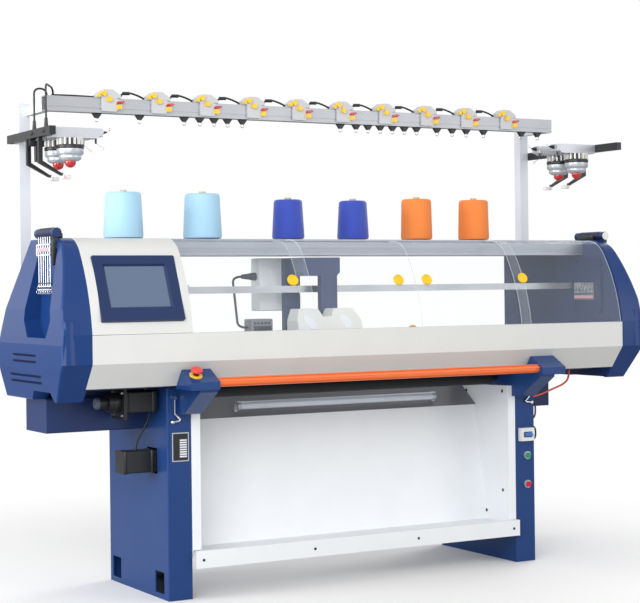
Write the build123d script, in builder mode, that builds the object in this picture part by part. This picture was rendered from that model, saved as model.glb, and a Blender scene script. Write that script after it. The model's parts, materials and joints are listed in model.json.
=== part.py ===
"""Flat knitting machine: two needle beds under a curved hood, on two legs, with a yarn stand above.

Lengths are in millimetres. X runs along the beds, Y from front to back and Z up. The origin is on the
floor, midway between the four floor bolts.
"""

import os
from math import atan2, cos, pi, radians, sin, tan

from build123d import *

os.makedirs("parts", exist_ok=True)

# Shared clearances
cut_overrun = 5.0
running_gap = 0.3
shaft_gap = 0.05

# Legs
leg_spacing = 1650.0
leg_width = 103.0
leg_depth = 583.0
leg_height = 822.0
leg_wall = 6.0
leg_corner = 5.0
access_width = 85.0
access_height = 84.0
access_foot = 21.0
access_place_shares = (-0.357, 0.376)
bolt_hole = 14.0
bolt_reach = 205.0
leg_front = -leg_depth / 2
leg_inner = leg_spacing / 2 - leg_width / 2
leg_outer = leg_inner + leg_width

# Body section, seen from the side
panel_half = 1242.0
panel_reach = 161.0
panel_face_height = 107.0
panel_undercut_height = 94.0
panel_foot_rise = 13.0
panel_undercut = 37.8
panel_lip = 40.0
sheet = 3.0
body_depth = 704.0
rear_undercut_height = 66.0
rear_undercut = 18.2
cover_skirt_drop = 35.0
hood_gap = 1.8
hood_large_radius = 679.0
hood_small_radius = 130.0
hood_foot_heading = 83.0
hood_bend_heading = 55.0
hood_lip = 35.0
table_depth = 232.0
panel_foot = leg_height + panel_foot_rise
panel_fold = panel_foot + panel_undercut_height
panel_seam = panel_fold + panel_face_height
rear_fold = panel_foot + rear_undercut_height
rear_seam = rear_fold + panel_face_height
cover_foot = leg_height - cover_skirt_drop
body_front = leg_front - panel_reach
body_back = body_front + body_depth
hood_foot = panel_seam + hood_gap

# Side plates and end covers
plate_thickness = 6.0
cover_width = 118.0
cover_cavity = 40.0
cover_wall = 5.0
cover_rounding = 8.0
cover_top_width = 56.0
cover_shoulder_width = 112.0
cover_shoulder_drop = 268.0
cover_waist_drop = 400.0
cover_skirt_height = 115.0
cover_skirt_width = 100.0
recess_floor = 50.0
recess_top_drop = 40.0
recess_waist_drop = 310.0
recess_foot_drop = 375.0
recess_front_set = 178.0
recess_top_span = 190.0
recess_waist_span = 285.0
recess_foot_span = 200.0
vent_length_shares = (0.36, 0.36, 0.48, 0.48)
vent_rise_shares = (0.85, 0.73, 0.46, 0.34)
vent_zone = 200.0
vent_height = 9.0
vent_depth = 10.0
vent_set = 405.0
notch_span = 250.0
notch_height = 36.0
notch_set = 250.0
rib_width = 60.0
rib_proud = 14.0
rib_height = 158.0
rib_taper = 3.0

# Control housing, bezel and screen
housing_length = 405.0
housing_return = 10.0
bezel_joint_gap = 32.0
bezel_height = 266.0
bezel_depth = 26.0
bezel_tilt = 23.3
bezel_rise = 170.0
bezel_set = 54.0
bezel_proud = 9.0
bezel_end_gap = 37.0
bezel_corner = 6.0
screen_side = 46.0
screen_height = 168.0
screen_recess = 9.0
screen_thickness = 5.0
screen_shift = 8.0
bezel_width = housing_length - bezel_end_gap - bezel_joint_gap
screen_width = bezel_width - 2 * screen_side

# Windows
window_sheet = 3.0
window_inset = 2.0
window_air = 3.0
window_overlap = 54.0
window_joint_share = 0.239
window_meeting_share = 0.1626
window_span_share = 0.4436
window_groove = 10.0
knob_radius = 23.0
knob_length = 18.0
knob_stem = 10.0
knob_dish = 5.0
knob_wall = 5.0
knob_heading = 66.3
knob_end_set = 88.0
knob_start_set = 49.0
fixed_knob_set = 85.0
fixed_knob_start_set = 36.0
window_joint = -panel_half * window_joint_share
window_meeting = panel_half * window_meeting_share
window_span = panel_half * window_span_share

# Yarn table and cones
table_height = 66.0
table_wall = 6.0
table_flute = 5.0
table_flute_shares = (0.22, 0.40)
cone_set = 117.0
cone_place_shares = (-0.770, -0.493, -0.176, 0.076, 0.335, 0.577)
pale_cone_base = 157.0
pale_cone_top = 142.0
pale_cone_height = 186.0
dark_cone_base = 135.0
dark_cone_top = 119.0
dark_cone_height = 168.0
orange_cone_base = 137.0
orange_cone_top = 130.0
orange_cone_height = 180.0
core_radius = 14.0
core_bore = 11.0
core_proud = 8.0
core_foot = 4.0

# Needle beds and their base
bed_set = 165.0
bed_rise = 183.0
bed_slope = 45.0
bed_length = 190.0
bed_thickness = 22.0
bed_end_margin = 73.5
throat = 4.0
throat_end_margin = 28.5
groove_count = 52
groove_ends = 3
groove_width = 12.0
groove_depth = 6.0
base_block = 140.0
base_block_rear = 190.0
base_block_height = 150.0
bearing_block = 40.0
bearing_height = 23.0
bed_apex = leg_height + bed_rise
bed_half = leg_inner - bed_end_margin
throat_half = leg_inner - throat_end_margin
groove_pitch = 2 * bed_half / (groove_count + groove_ends)
bed_axis = leg_front + bed_set
base_half = panel_half - plate_thickness

# Racking drive
racking_screw_radius = 5.0
racking_screw_depth = 13.0
racking_screw_out = 170.0
racking_screw_in = 60.0
racking_travel = 25.0

# Guide rails
rail_bar = 16.0
rail_drop = 11.0
carrier_rail_height = 28.0
carrier_rail_thickness = 12.0
carrier_rail_rise = 177.0
carrier_rail_foot = bed_apex + carrier_rail_rise

# Carriage
carriage_length = 300.0
carriage_park = 150.0
cam_start = 14.0
cam_end = 205.0
cam_gap = 3.0
cam_thickness = 25.0
tunnel_half = 50.0
column_depth = 30.0
column_drop = 39.0
column_width = 76.0
column_set = 62.0
bridge_rise = 245.0
bridge_height = 75.0
bridge_length = 163.0
bridge_bevel = 14.0
rear_column_width = 175.0
rear_post_width = 72.0
runner_depth = 26.0
runner_lift = 4.0
runner_height = 50.0
cover_lobe_rise = 111.0
cover_dip = 32.0
cover_depth = 108.0
cover_set = 82.0
cover_hem_drop = 125.0
cover_lean = 40.0
cover_lean_height = 110.0
box_width = 140.0
box_depth = 80.0
box_rise = 102.0
box_left_set = 180.0
box_corner = 6.0
selector_length = 100.0
selector_start = 40.0
selector_end = 110.0
selector_drop = 27.0
selector_rise = 70.0
plug_length = 60.0
plug_radius = 11.0
plug_drop = 75.0
plug_cable_radius = 5.0
plug_cable_out = 45.0
plug_cable_bend = 20.0
carriage_centre = -carriage_park
column_foot = bed_apex - column_drop
bridge_foot = bed_apex + bridge_rise
runner_foot = leg_height + runner_lift
cover_lobe_top = bed_apex + cover_lobe_rise
cover_dip_top = cover_lobe_top - cover_dip
cover_low = bed_apex - cover_hem_drop
box_foot = bed_apex + box_rise

# Belt drive
pulley_radius = 40.0
pulley_width = 18.0
pulley_set = 76.0
pulley_drop = 55.0
pulley_shaft = 8.0
pulley_shaft_depth = 30.0
belt_thickness = 3.0
belt_width = 14.0
belt_arm_thickness = 8.0
belt_arm_width = 100.0
pulley_place = base_half - pulley_set
pulley_height = bed_apex - pulley_drop

# Yarn carrier
carrier_park = 720.0
carrier_place = -carrier_park
carrier_width = 30.0
carrier_wall = 7.0
carrier_arm = 8.0
carrier_nose_gap = 5.0
carrier_horn = 24.0

# Motors
motor_size = 86.0
carriage_motor_length = 100.0
takedown_motor_length = 138.0
takedown_motor_drop = 332.0
takedown_motor_foot = leg_height - takedown_motor_drop
takedown_motor_set = 102.0
takedown_window_gap = 14.0
racking_motor_out = 253.5
racking_motor_left = -leg_outer - racking_motor_out
racking_motor_length = 240.0
racking_motor_size = 80.0
racking_motor_drop = 14.0
racking_motor_set = 60.0
racking_plate = 12.0
racking_plate_side = 118.0
racking_hub_radius = 22.0
racking_hub_length = 46.0

# Take-down rollers
roller_drop = 30.0
roller_height = leg_height - roller_drop
roller_radius = 25.0
press_roller_radius = 21.0
roller_nip = 1.5
roller_end_gap = 38.5
roller_half = leg_inner - roller_end_gap
roller_shaft = 10.0

# Electrical box
ebox_proud = 53.0
ebox_end = panel_half + ebox_proud
ebox_front_set = 185.0
ebox_depth = 226.0
right_box_length = 222.0
ebox_height = 131.7
ebox_top = cover_foot - running_gap
ebox_foot = ebox_top - ebox_height

# Start rod and its brackets
rod_end_gap = 17.5
rod_reach = 187.0
rod_lift = 26.0
rod_radius = 18.0
rod_groove = 4.0
rod_groove_width = 6.0
rod_groove_count = 8
rod_shaft = 7.0
rod_shaft_length = 24.0
bracket_width = 120.0
gusset_width = 76.0
bracket_front = 225.0
bracket_height = 76.0
gusset_height = 100.0
bracket_nose = 20.0
bracket_slope_rise = 45.0
bracket_arm_depth = 62.0
bracket_panel_gap = 2.0
bracket_chin = leg_height
bracket_top = bracket_chin + bracket_height
bracket_foot = bracket_chin - gusset_height
rod_half = leg_inner - rod_end_gap
rod_height = bracket_chin + rod_lift
estop_radius = 23.0
estop_set_share = 0.68
estop_cap = 15.0
estop_stem = 11.0
estop_stem_length = 14.0
estop_collar = 25.0
estop_collar_height = 4.0

# Leg controls
breaker_width = 68.0
breaker_height = 56.0
breaker_depth = 24.0
breaker_drop = 269.0
breaker_centre = leg_height - breaker_drop
breaker_slot_width = 40.0
breaker_slot_height = 22.0
toggle_width = 34.0
toggle_radius = 9.0
toggle_reach = 15.0
start_button_drop = 361.0
start_button_height = leg_height - start_button_drop
stop_button_drop = 486.0
stop_button_height = leg_height - stop_button_drop
button_radius = 12.0
button_bezel = 17.0
button_bezel_depth = 8.0
button_proud = 7.0
button_well = 5.0
lever_pivot_drop = 39.0
lever_pivot_height = leg_height - lever_pivot_drop
lever_pivot_set = 30.0
lever_drop = 62.0
lever_bend = 26.0
lever_rod = 4.0
lever_ball = 9.0
lever_hook = 36.0
lever_boss = 8.0
lever_boss_depth = 14.0

# Fabric bin and lamp
bin_lip_foot = 120.0
bin_lip_top = 187.0
bin_lip_reach = 30.0
bin_lip_return = 18.0
bin_floor = 166.0
bin_back_foot = 221.0
bin_back_top = 294.0
bin_back_drop = 153.0
bin_back_height = leg_height - bin_back_drop
bin_side_drop = 57.0
bin_side_top = leg_height - bin_side_drop
upper_sheet_set = 409.0
upper_sheet_drop = 66.0
upper_sheet_top = leg_height - upper_sheet_drop
bin_sheet = 2.0
lamp_radius = 17.0
lamp_half = 490.0
lamp_shift = 70.0
lamp_lift = 26.0
lamp_along = 40.0
lamp_clip = 12.0

# Yarn stand
post_size = 45.0
post_wall = 3.0
post_crown = 48.0
post_foot_rise = 25.0
post_foot = panel_foot + post_foot_rise
stand_rail_margin = 7.0
stand_rail_half = panel_half - stand_rail_margin
stand_rail_set = 340.0
stand_rise = 506.0
stand_rail_height = 60.0
stand_rail_depth = 44.0
stand_rail_wall = 4.0
stand_rail_flute = 8.0
arm_height = 34.0
arm_width = 30.0
unit_count = 10
unit_pitch_share = 0.08745
unit_pitch = 2 * stand_rail_half * unit_pitch_share
unit_plate_width = 60.0
unit_plate_thickness = 9.0
unit_plate_drop = 54.0
unit_roof_width = 104.0
unit_roof_height = 34.0
unit_roof_depth = 50.0
unit_tab = 24.0
unit_knob = 11.0
unit_knob_small = 7.0
unit_knob_depth = 13.0
unit_square = 18.0
guide_width = 40.0
guide_foot_width = 10.0
guide_height = 20.0
guide_thickness = 18.0
guide_place_shares = (
    -0.82, -0.67, -0.51, -0.453, -0.40, -0.35, -0.294, 0.09, 0.154, 0.203,
    0.254, 0.305, 0.355, 0.407, 0.495, 0.561, 0.623, 0.70, 0.872, 0.945,
)
lead_radius = 4.0
lead_sides = 6
lead_rise = 20.0
lead_joint_radius = 7.0
leg_lead_tops = (128.0, 240.0)
leg_lead_feet = (202.0, 296.0)
leg_lead_out = 16.0
leg_lead_set = 12.0
motor_lead_bend = 30.0
loop_rises = (30.0, 26.0)
loop_landings = (40.0, 14.0)
loop_bend = 22.0
loop_plug = 36.0

# Side tensioners
tensioner_length = 200.0
tensioner_radius = 19.0
tensioner_front_set = 185.0
tensioner_out = 62.0
tensioner_stand = 16.0
tension_arm_count = 6
tension_arm_pitch = 24.0
tension_arm_radius = 1.5
tension_arm_drop = 215.0
tension_arm_out = 78.0
tension_frame_height = 44.0
tension_frame_bar = 5.0

# Storage feeders
feeder_bar_width = 25.0
feeder_bar_height = 33.0
feeder_bar_drop = 110.0
feeder_bar_back = 30.0
left_bar_front = 130.0
right_bar_front = -110.0
left_feeder_places = (200.0, 330.0)
right_feeder_places = (70.0, 200.0)
feeder_length = 212.0
feeder_height = 40.0
feeder_depth = 58.0
feeder_nose = 26.0
feeder_nose_height = 18.0
drum_set = 84.0
drum_radius = 54.0
drum_fin_height = 26.0
drum_fin_depth = 9.0
drum_slot = 7.0
drum_slot_count = 16
drum_ring_height = 14.0
drum_bowl_height = 48.0
drum_bowl_radius = 40.0
drum_lens_radius = 22.0
drum_lens_height = 26.0
drum_shaft = 6.0
drum_shaft_depth = 16.0
hanger_width = 18.0
hanger_thickness = 16.0
hanger_arm = 9.0
hanger_drop = 100.0
hanger_lean = 88.0
hanger_fall = 48.0
hanger_gap = 62.0

# Yarn entry in the side plates, and the panels at the back corners
rear_panel_width = 122.0
inner_panel_width = 272.0
inner_panel_rise = 20.0
pocket_width = 186.0
pocket_height = 240.0
pocket_depth = 10.0
pocket_corner = 24.0
entry_set = 220.0
entry_drop = 210.0
clamp_width = 140.0
clamp_shift = 20.0
clamp_drop = 20.0
clamp_height = 80.0
clamp_depth = 14.0
clamp_slot = 12.0
clamp_teeth = 6

# Air hose
hose_radius = 4.4
hose_out = 201.5
hose_fall = 56.0
hose_drop = 107.0
hose_stub = 24.0
hose_bend = 40.0


def save(builder, name):
    """Label a finished piece and write it."""
    builder.part.label = name
    export_step(builder.part, f"parts/{name}.step")


def at_y(y):
    """A plane facing the front at the given depth; a positive extrusion runs forwards."""
    return Plane.XZ.offset(-y)


def at_x(x):
    return Plane.YZ.offset(x)


def at_z(z):
    return Plane.XY.offset(z)


def hood_point(heading, inset=0):
    """A point (y, z) of the hood's two arcs, moved inwards by inset."""
    foot = radians(hood_foot_heading)
    bend = radians(hood_bend_heading)
    centre_y = body_front + hood_large_radius * sin(foot)
    centre_z = hood_foot - hood_large_radius * cos(foot)
    radius = hood_large_radius
    if heading < hood_bend_heading:
        centre_y -= (hood_large_radius - hood_small_radius) * sin(bend)
        centre_z += (hood_large_radius - hood_small_radius) * cos(bend)
        radius = hood_small_radius
    turn = radians(heading)
    return (centre_y - (radius - inset) * sin(turn), centre_z + (radius - inset) * cos(turn))


body_top = hood_point(0)[1]
stand_rail_foot = body_top + stand_rise
post_top = stand_rail_foot + post_crown
feeder_bar_foot = stand_rail_foot - feeder_bar_drop
table_front = hood_point(0)[0] + hood_lip
table_back = table_front + table_depth
front_toe = body_front + (panel_fold - cover_foot) * tan(radians(panel_undercut))
rear_toe = body_back - (rear_fold - cover_foot) * tan(radians(rear_undercut))
entry_y = body_front + entry_set
entry_z = body_top - entry_drop


def hood_arcs(inset):
    """The hood's curve from its foot to its flat top, in an open line block."""
    middle = (hood_foot_heading + hood_bend_heading) / 2
    bend = hood_point(hood_bend_heading, inset)
    ThreePointArc(hood_point(hood_foot_heading, inset), hood_point(middle, inset), bend)
    ThreePointArc(bend, hood_point(hood_bend_heading / 2, inset), hood_point(0, inset))


def hood_band(inset, thickness, top_end):
    """The section of a sheet bent to the hood's curve."""
    with BuildLine() as band:
        hood_arcs(inset)
        hood_arcs(inset + thickness)
        outer_top = hood_point(0, inset)
        inner_top = hood_point(0, inset + thickness)
        Polyline(outer_top, (top_end, outer_top[1]), (top_end, inner_top[1]), inner_top)
        Line(hood_point(hood_foot_heading, inset), hood_point(hood_foot_heading, inset + thickness))
    make_face(band.edges())


def body_outline():
    """The outline of the machine's body, seen from its end."""
    with BuildLine() as outline:
        hood_arcs(0)
        Polyline(
            hood_point(0),
            (table_back, body_top),
            (body_back, rear_seam),
            (body_back, rear_fold),
            (rear_toe, cover_foot),
            (front_toe, cover_foot),
            (body_front, panel_fold),
            hood_point(hood_foot_heading),
        )
    make_face(outline.edges())


def slope_point(side, along, out):
    """A point (y, z) along a needle bed's slope and out from its face; side is -1 at the front."""
    slope = radians(bed_slope)
    reach = throat + along * cos(slope) + out * sin(slope)
    return (bed_axis + side * reach, bed_apex - along * sin(slope) + out * cos(slope))


def slope_plane(side, x, along, out):
    """A plane lying on a needle bed's slope, with its own X along the bed."""
    y, z = slope_point(side, along, out)
    slope = radians(bed_slope)
    return Plane(origin=(x, y, z), x_dir=(1, 0, 0), z_dir=(0, side * sin(slope), cos(slope)))


bed_inner_foot = bed_apex - bed_thickness / cos(radians(bed_slope))
bed_outer_foot = slope_point(1, bed_length, -bed_thickness)
base_reach = bed_outer_foot[0] - bed_axis
main_roller_y = bed_axis - roller_radius - roller_nip / 2
press_roller_y = bed_axis + press_roller_radius + roller_nip / 2
bed_centre_along = bed_length / 2
racking_y, racking_z = slope_point(1, bed_centre_along, running_gap - racking_screw_depth)


# Legs
def make_leg(side):
    leg_x = side * leg_spacing / 2
    outer_face = leg_x + side * leg_width / 2
    inner_face = leg_x - side * leg_width / 2
    with BuildPart() as leg:
        with BuildSketch(Plane.XY):
            with Locations((leg_x, 0)):
                RectangleRounded(leg_width, leg_depth, leg_corner)
        extrude(amount=leg_height)
        with BuildSketch(at_z(leg_wall)):
            with Locations((leg_x, 0)):
                Rectangle(leg_width - 2 * leg_wall, leg_depth - 2 * leg_wall)
        extrude(amount=leg_height - 2 * leg_wall, mode=Mode.SUBTRACT)
        with BuildSketch(at_x(outer_face)):
            for share in access_place_shares:
                with Locations((leg_depth * share, access_foot + access_height / 2)):
                    Rectangle(access_width, access_height)
            if side < 0:
                window_y = leg_front + takedown_motor_set + motor_size / 2
                with Locations((window_y, takedown_motor_foot + motor_size / 2)):
                    Rectangle(motor_size + takedown_window_gap, motor_size + takedown_window_gap)
        extrude(amount=-side * leg_wall, mode=Mode.SUBTRACT)
        with BuildSketch(Plane.XY):
            with Locations((leg_x, bolt_reach), (leg_x, -bolt_reach)):
                Circle(bolt_hole / 2)
        extrude(amount=leg_wall, mode=Mode.SUBTRACT)
        with BuildSketch(at_x(inner_face)):
            with Locations((main_roller_y, roller_height), (press_roller_y, roller_height)):
                Circle(roller_shaft + shaft_gap)
        extrude(amount=side * leg_wall, mode=Mode.SUBTRACT)
    return leg


save(make_leg(-1), "leg_left")
save(make_leg(1), "leg_right")


# Bed base, a casting with a throat between its two slopes
with BuildPart() as bed_base:
    for side in (-1, 1):
        with BuildSketch(at_x(-base_half)):
            Polygon(
                (bed_axis + side * throat, leg_height),
                (bed_axis + side * throat, bed_inner_foot),
                (bed_axis + side * base_reach, bed_outer_foot[1]),
                (bed_axis + side * base_reach, leg_height),
                align=None,
            )
        extrude(amount=2 * base_half)
    for side in (-1, 1):
        with BuildSketch(at_x(side * throat_half)):
            with Locations((bed_axis, (leg_height + bed_inner_foot) / 2)):
                Rectangle(2 * throat, bed_inner_foot - leg_height)
        extrude(amount=side * (base_half - throat_half))
        with BuildSketch(at_z(leg_height)):
            block_x = side * (base_half - base_block / 2)
            with Locations((block_x, bed_axis + (base_block_rear - base_reach) / 2)):
                Rectangle(base_block, base_block_rear + base_reach)
        extrude(amount=base_block_height)
        with BuildSketch(at_y(bed_axis + base_block_rear)):
            with Locations((side * pulley_place, pulley_height)):
                Circle(pulley_shaft + shaft_gap)
        extrude(amount=pulley_shaft_depth, mode=Mode.SUBTRACT)
    bearing_x = -bed_half - racking_screw_out + bearing_block
    with BuildSketch(slope_plane(1, bearing_x, bed_centre_along, -bed_thickness)):
        Rectangle(bearing_block, bearing_block)
    extrude(amount=bearing_height)
    with BuildSketch(at_x(-bed_half - racking_screw_out)):
        with Locations((racking_y, racking_z)):
            Circle(racking_screw_radius + shaft_gap)
    extrude(amount=racking_screw_out - racking_travel, mode=Mode.SUBTRACT)
save(bed_base, "bed_base")


# Needle beds, grooved plates on the two slopes
def make_needle_bed(side, lift):
    with BuildPart() as bed:
        inner_y = bed_axis + side * (throat + lift)
        with BuildSketch(at_x(-bed_half)):
            Polygon(
                (inner_y, bed_apex),
                slope_point(side, bed_length, lift),
                slope_point(side, bed_length, lift - bed_thickness),
                (inner_y, bed_inner_foot + lift),
                align=None,
            )
        extrude(amount=2 * bed_half)
        with BuildSketch(slope_plane(side, 0, bed_centre_along, lift)):
            with GridLocations(groove_pitch, bed_length, groove_count, 1):
                Rectangle(groove_width, bed_length + 2 * cut_overrun)
        extrude(amount=-groove_depth, mode=Mode.SUBTRACT)
        if side > 0:
            with BuildSketch(at_x(-bed_half)):
                with Locations((racking_y, racking_z)):
                    Circle(racking_screw_radius + shaft_gap)
            extrude(amount=racking_screw_in + 2 * racking_travel, mode=Mode.SUBTRACT)
    return bed


save(make_needle_bed(-1, 0), "needle_bed_front")
save(make_needle_bed(1, running_gap), "needle_bed_rear")

with BuildPart() as racking_screw:
    with BuildSketch(at_x(-bed_half - racking_screw_out)):
        with Locations((racking_y, racking_z)):
            Circle(racking_screw_radius)
    extrude(amount=racking_screw_out + racking_screw_in)
save(racking_screw, "racking_screw")


# Guide rails: two bars for the carriage and one for the yarn carrier
with BuildPart() as guide_rails:
    rail_z = bed_outer_foot[1] - rail_drop - rail_bar / 2
    with BuildSketch(at_x(-base_half + base_block)):
        for side in (-1, 1):
            with Locations((bed_axis + side * (base_reach + rail_bar / 2), rail_z)):
                Rectangle(rail_bar, rail_bar)
    extrude(amount=2 * (base_half - base_block))
    with BuildSketch(at_x(-base_half)):
        with Locations((bed_axis, carrier_rail_foot + carrier_rail_height / 2)):
            Rectangle(carrier_rail_thickness, carrier_rail_height)
    extrude(amount=2 * base_half)
save(guide_rails, "guide_rails")


# Side plates that close the body under the sheets
with BuildPart() as side_plates:
    for side in (-1, 1):
        with BuildSketch(at_x(side * base_half)):
            body_outline()
            offset(amount=-sheet - running_gap, kind=Kind.INTERSECTION, mode=Mode.REPLACE)
        extrude(amount=side * plate_thickness)
    rim_width = pocket_width - 2 * sheet
    rim_height = pocket_height - 2 * sheet
    with BuildSketch(at_x(base_half)):
        with Locations((entry_y, entry_z)):
            RectangleRounded(pocket_width, pocket_height, pocket_corner)
            RectangleRounded(rim_width, rim_height, pocket_corner - sheet, mode=Mode.SUBTRACT)
    extrude(amount=-pocket_depth)
save(side_plates, "side_plates")

# Yarn entry inside the right side plate: a block with two rows of eyelets
clamp_y = entry_y + clamp_shift
clamp_z = entry_z - clamp_drop

with BuildPart() as yarn_entry_guides:
    with BuildSketch(at_x(base_half)):
        with Locations((clamp_y, clamp_z)):
            Rectangle(clamp_width, clamp_height)
    extrude(amount=-clamp_depth)
    with BuildSketch(at_x(base_half - clamp_depth)):
        with Locations((clamp_y, clamp_z + clamp_height / 4)):
            with GridLocations(clamp_width / clamp_teeth, 0, clamp_teeth, 1):
                Rectangle(clamp_slot, clamp_height / 2)
    extrude(amount=clamp_depth / 2, mode=Mode.SUBTRACT)
save(yarn_entry_guides, "yarn_entry_guides")


# End covers, with a leaning outer face, a recess for the tension arms, vents and a rib
def make_end_cover(side):
    inner_x = side * panel_half
    outer_x = side * (panel_half + cover_width)
    far_x = outer_x + side * cut_overrun
    with BuildPart() as cover:
        with BuildSketch(at_x(inner_x)):
            body_outline()
        extrude(amount=side * cover_width)
        with BuildSketch(Plane.XZ):
            Polygon(
                (inner_x + side * cover_top_width, body_top + cut_overrun),
                (inner_x + side * cover_top_width, body_top),
                (inner_x + side * cover_shoulder_width, body_top - cover_shoulder_drop),
                (outer_x, body_top - cover_waist_drop),
                (outer_x, cover_foot + cover_skirt_height),
                (inner_x + side * cover_skirt_width, cover_foot),
                (inner_x + side * cover_skirt_width, cover_foot - cut_overrun),
                (far_x, cover_foot - cut_overrun),
                (far_x, body_top + cut_overrun),
                align=None,
            )
        extrude(amount=body_depth, both=True, mode=Mode.SUBTRACT)
        rim = []
        for edge in cover.edges():
            ends = edge.bounding_box()
            if min(side * ends.min.X, side * ends.max.X) > panel_half + cover_top_width / 2:
                rim.append(edge)
        fillet(rim, cover_rounding)
        with BuildSketch(at_x(inner_x)):
            body_outline()
            offset(amount=-cover_wall, kind=Kind.INTERSECTION, mode=Mode.REPLACE)
        extrude(amount=side * cover_cavity, mode=Mode.SUBTRACT)
        recess_middle = body_front + recess_front_set + recess_top_span / 2
        with BuildSketch(at_x(inner_x + side * recess_floor)):
            Polygon(
                (recess_middle - recess_top_span / 2, body_top - recess_top_drop),
                (recess_middle + recess_top_span / 2, body_top - recess_top_drop),
                (recess_middle + recess_waist_span / 2, body_top - recess_waist_drop),
                (recess_middle + recess_foot_span / 2, body_top - recess_foot_drop),
                (recess_middle - recess_foot_span / 2, body_top - recess_foot_drop),
                (recess_middle - recess_waist_span / 2, body_top - recess_waist_drop),
                align=None,
            )
        extrude(amount=side * cover_width, mode=Mode.SUBTRACT)
        with BuildSketch(at_x(outer_x)):
            for length_share, rise_share in zip(vent_length_shares, vent_rise_shares):
                with Locations((body_front + vent_set, cover_foot + vent_zone * rise_share)):
                    Rectangle(body_depth * length_share, vent_height)
        extrude(amount=-side * vent_depth, mode=Mode.SUBTRACT)
        with BuildSketch(at_x(inner_x)):
            Polygon(
                (body_front + notch_set - notch_span / 2, cover_foot - cut_overrun),
                (body_front + notch_set - notch_span / 2 + notch_height, cover_foot + notch_height),
                (body_front + notch_set + notch_span / 2 - notch_height, cover_foot + notch_height),
                (body_front + notch_set + notch_span / 2, cover_foot - cut_overrun),
                align=None,
            )
        extrude(amount=side * (cover_width + cut_overrun), mode=Mode.SUBTRACT)
        with BuildSketch(at_z(panel_fold)):
            with Locations((outer_x - side * rib_width / 2, body_front + rib_proud / 2)):
                Ellipse(rib_width / 2, rib_proud)
        extrude(amount=rib_height, taper=rib_taper)
    return cover


save(make_end_cover(-1), "end_cover_left")
save(make_end_cover(1), "end_cover_right")


# Front panel, a folded sheet with a lip that the windows stand on
with BuildPart() as front_panel:
    lean = radians(panel_undercut)
    foot_y = body_front + (panel_fold - panel_foot) * tan(lean)
    inner_shift = sheet * tan(lean / 2)
    with BuildSketch(at_x(-panel_half)):
        Polygon(
            (body_front, panel_seam),
            (body_front, panel_fold),
            (foot_y, panel_foot),
            (foot_y + sheet * cos(lean), panel_foot + sheet * sin(lean)),
            (body_front + sheet, panel_fold + inner_shift),
            (body_front + sheet, panel_seam),
            align=None,
        )
    extrude(amount=2 * panel_half)
    with BuildSketch(at_x(-base_half + running_gap)):
        with Locations((body_front + sheet + panel_lip / 2, panel_seam - sheet / 2)):
            Rectangle(panel_lip, sheet)
    extrude(amount=2 * (base_half - running_gap))
save(front_panel, "front_panel")

with BuildPart() as rear_panel:
    lean = radians(rear_undercut)
    foot_y = body_back - (rear_fold - panel_foot) * tan(lean)
    inner_shift = sheet * tan(lean / 2)
    with BuildSketch(at_x(-panel_half)):
        Polygon(
            (body_back, rear_seam),
            (body_back, rear_fold),
            (foot_y, panel_foot),
            (foot_y - sheet * cos(lean), panel_foot + sheet * sin(lean)),
            (body_back - sheet, rear_fold + inner_shift),
            (body_back - sheet, rear_seam),
            align=None,
        )
    extrude(amount=2 * panel_half)
save(rear_panel, "rear_panel")


# Control housing with its bezel and screen
bezel_x = -panel_half + bezel_end_gap + bezel_width / 2
bezel_lean = radians(bezel_tilt)
bezel_plane = Plane(
    origin=(bezel_x, body_front + bezel_set, panel_seam + bezel_rise),
    x_dir=(1, 0, 0),
    z_dir=(0, -cos(bezel_lean), sin(bezel_lean)),
)
housing_right = -panel_half + housing_length

with BuildPart() as control_housing:
    with BuildSketch(at_x(-panel_half)):
        hood_band(0, sheet, table_front)
    extrude(amount=housing_length)
    with BuildSketch(at_x(housing_right)):
        hood_band(sheet, housing_return, table_front)
    extrude(amount=-sheet)
    with BuildSketch(bezel_plane):
        RectangleRounded(bezel_width, bezel_height, bezel_corner)
    extrude(amount=bezel_depth * 2, both=True, mode=Mode.SUBTRACT)
save(control_housing, "control_housing")

with BuildPart() as control_bezel:
    with BuildSketch(bezel_plane.offset(bezel_proud - bezel_depth)):
        RectangleRounded(bezel_width - 2 * running_gap, bezel_height - 2 * running_gap, bezel_corner)
    extrude(amount=bezel_depth)
    with BuildSketch(bezel_plane.offset(bezel_proud)):
        with Locations((0, screen_shift)):
            Rectangle(screen_width, screen_height)
    extrude(amount=-screen_recess - screen_thickness, mode=Mode.SUBTRACT)
    bezel_rim = control_bezel.faces().sort_by(bezel_plane.offset(bezel_proud).location.z_axis)[-1]
    chamfer(bezel_rim.inner_wires()[0].edges(), length=screen_recess - sheet)
save(control_bezel, "control_bezel")

with BuildPart() as touch_screen:
    with BuildSketch(bezel_plane.offset(bezel_proud - screen_recess - screen_thickness)):
        with Locations((0, screen_shift)):
            Rectangle(screen_width, screen_height)
    extrude(amount=screen_thickness)
save(touch_screen, "touch_screen")


# Windows: two fixed at the ends, two that slide inside them
def knob_on(x, inset):
    """A yellow dished knob standing on a window's face."""
    y, z = hood_point(knob_heading, inset + window_sheet / 2)
    turn = radians(knob_heading)
    seat = Plane(origin=(x, y, z), x_dir=(1, 0, 0), z_dir=(0, -sin(turn), cos(turn)))
    upright = (Align.CENTER, Align.CENTER, Align.MIN)
    head = seat.offset(knob_length / 2)
    with Locations(seat):
        Cylinder(knob_stem, knob_length, align=upright)
    with Locations(head):
        Cylinder(knob_radius, knob_length / 2 + knob_dish, align=upright)
    with Locations(seat.offset(knob_length)):
        Cylinder(knob_radius - knob_wall, knob_dish, align=upright, mode=Mode.SUBTRACT)


slide_inset = window_inset + window_sheet + window_air
left_slide_start = window_joint - window_overlap
right_slide_end = window_meeting + window_span
right_joint = right_slide_end - window_overlap

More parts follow.
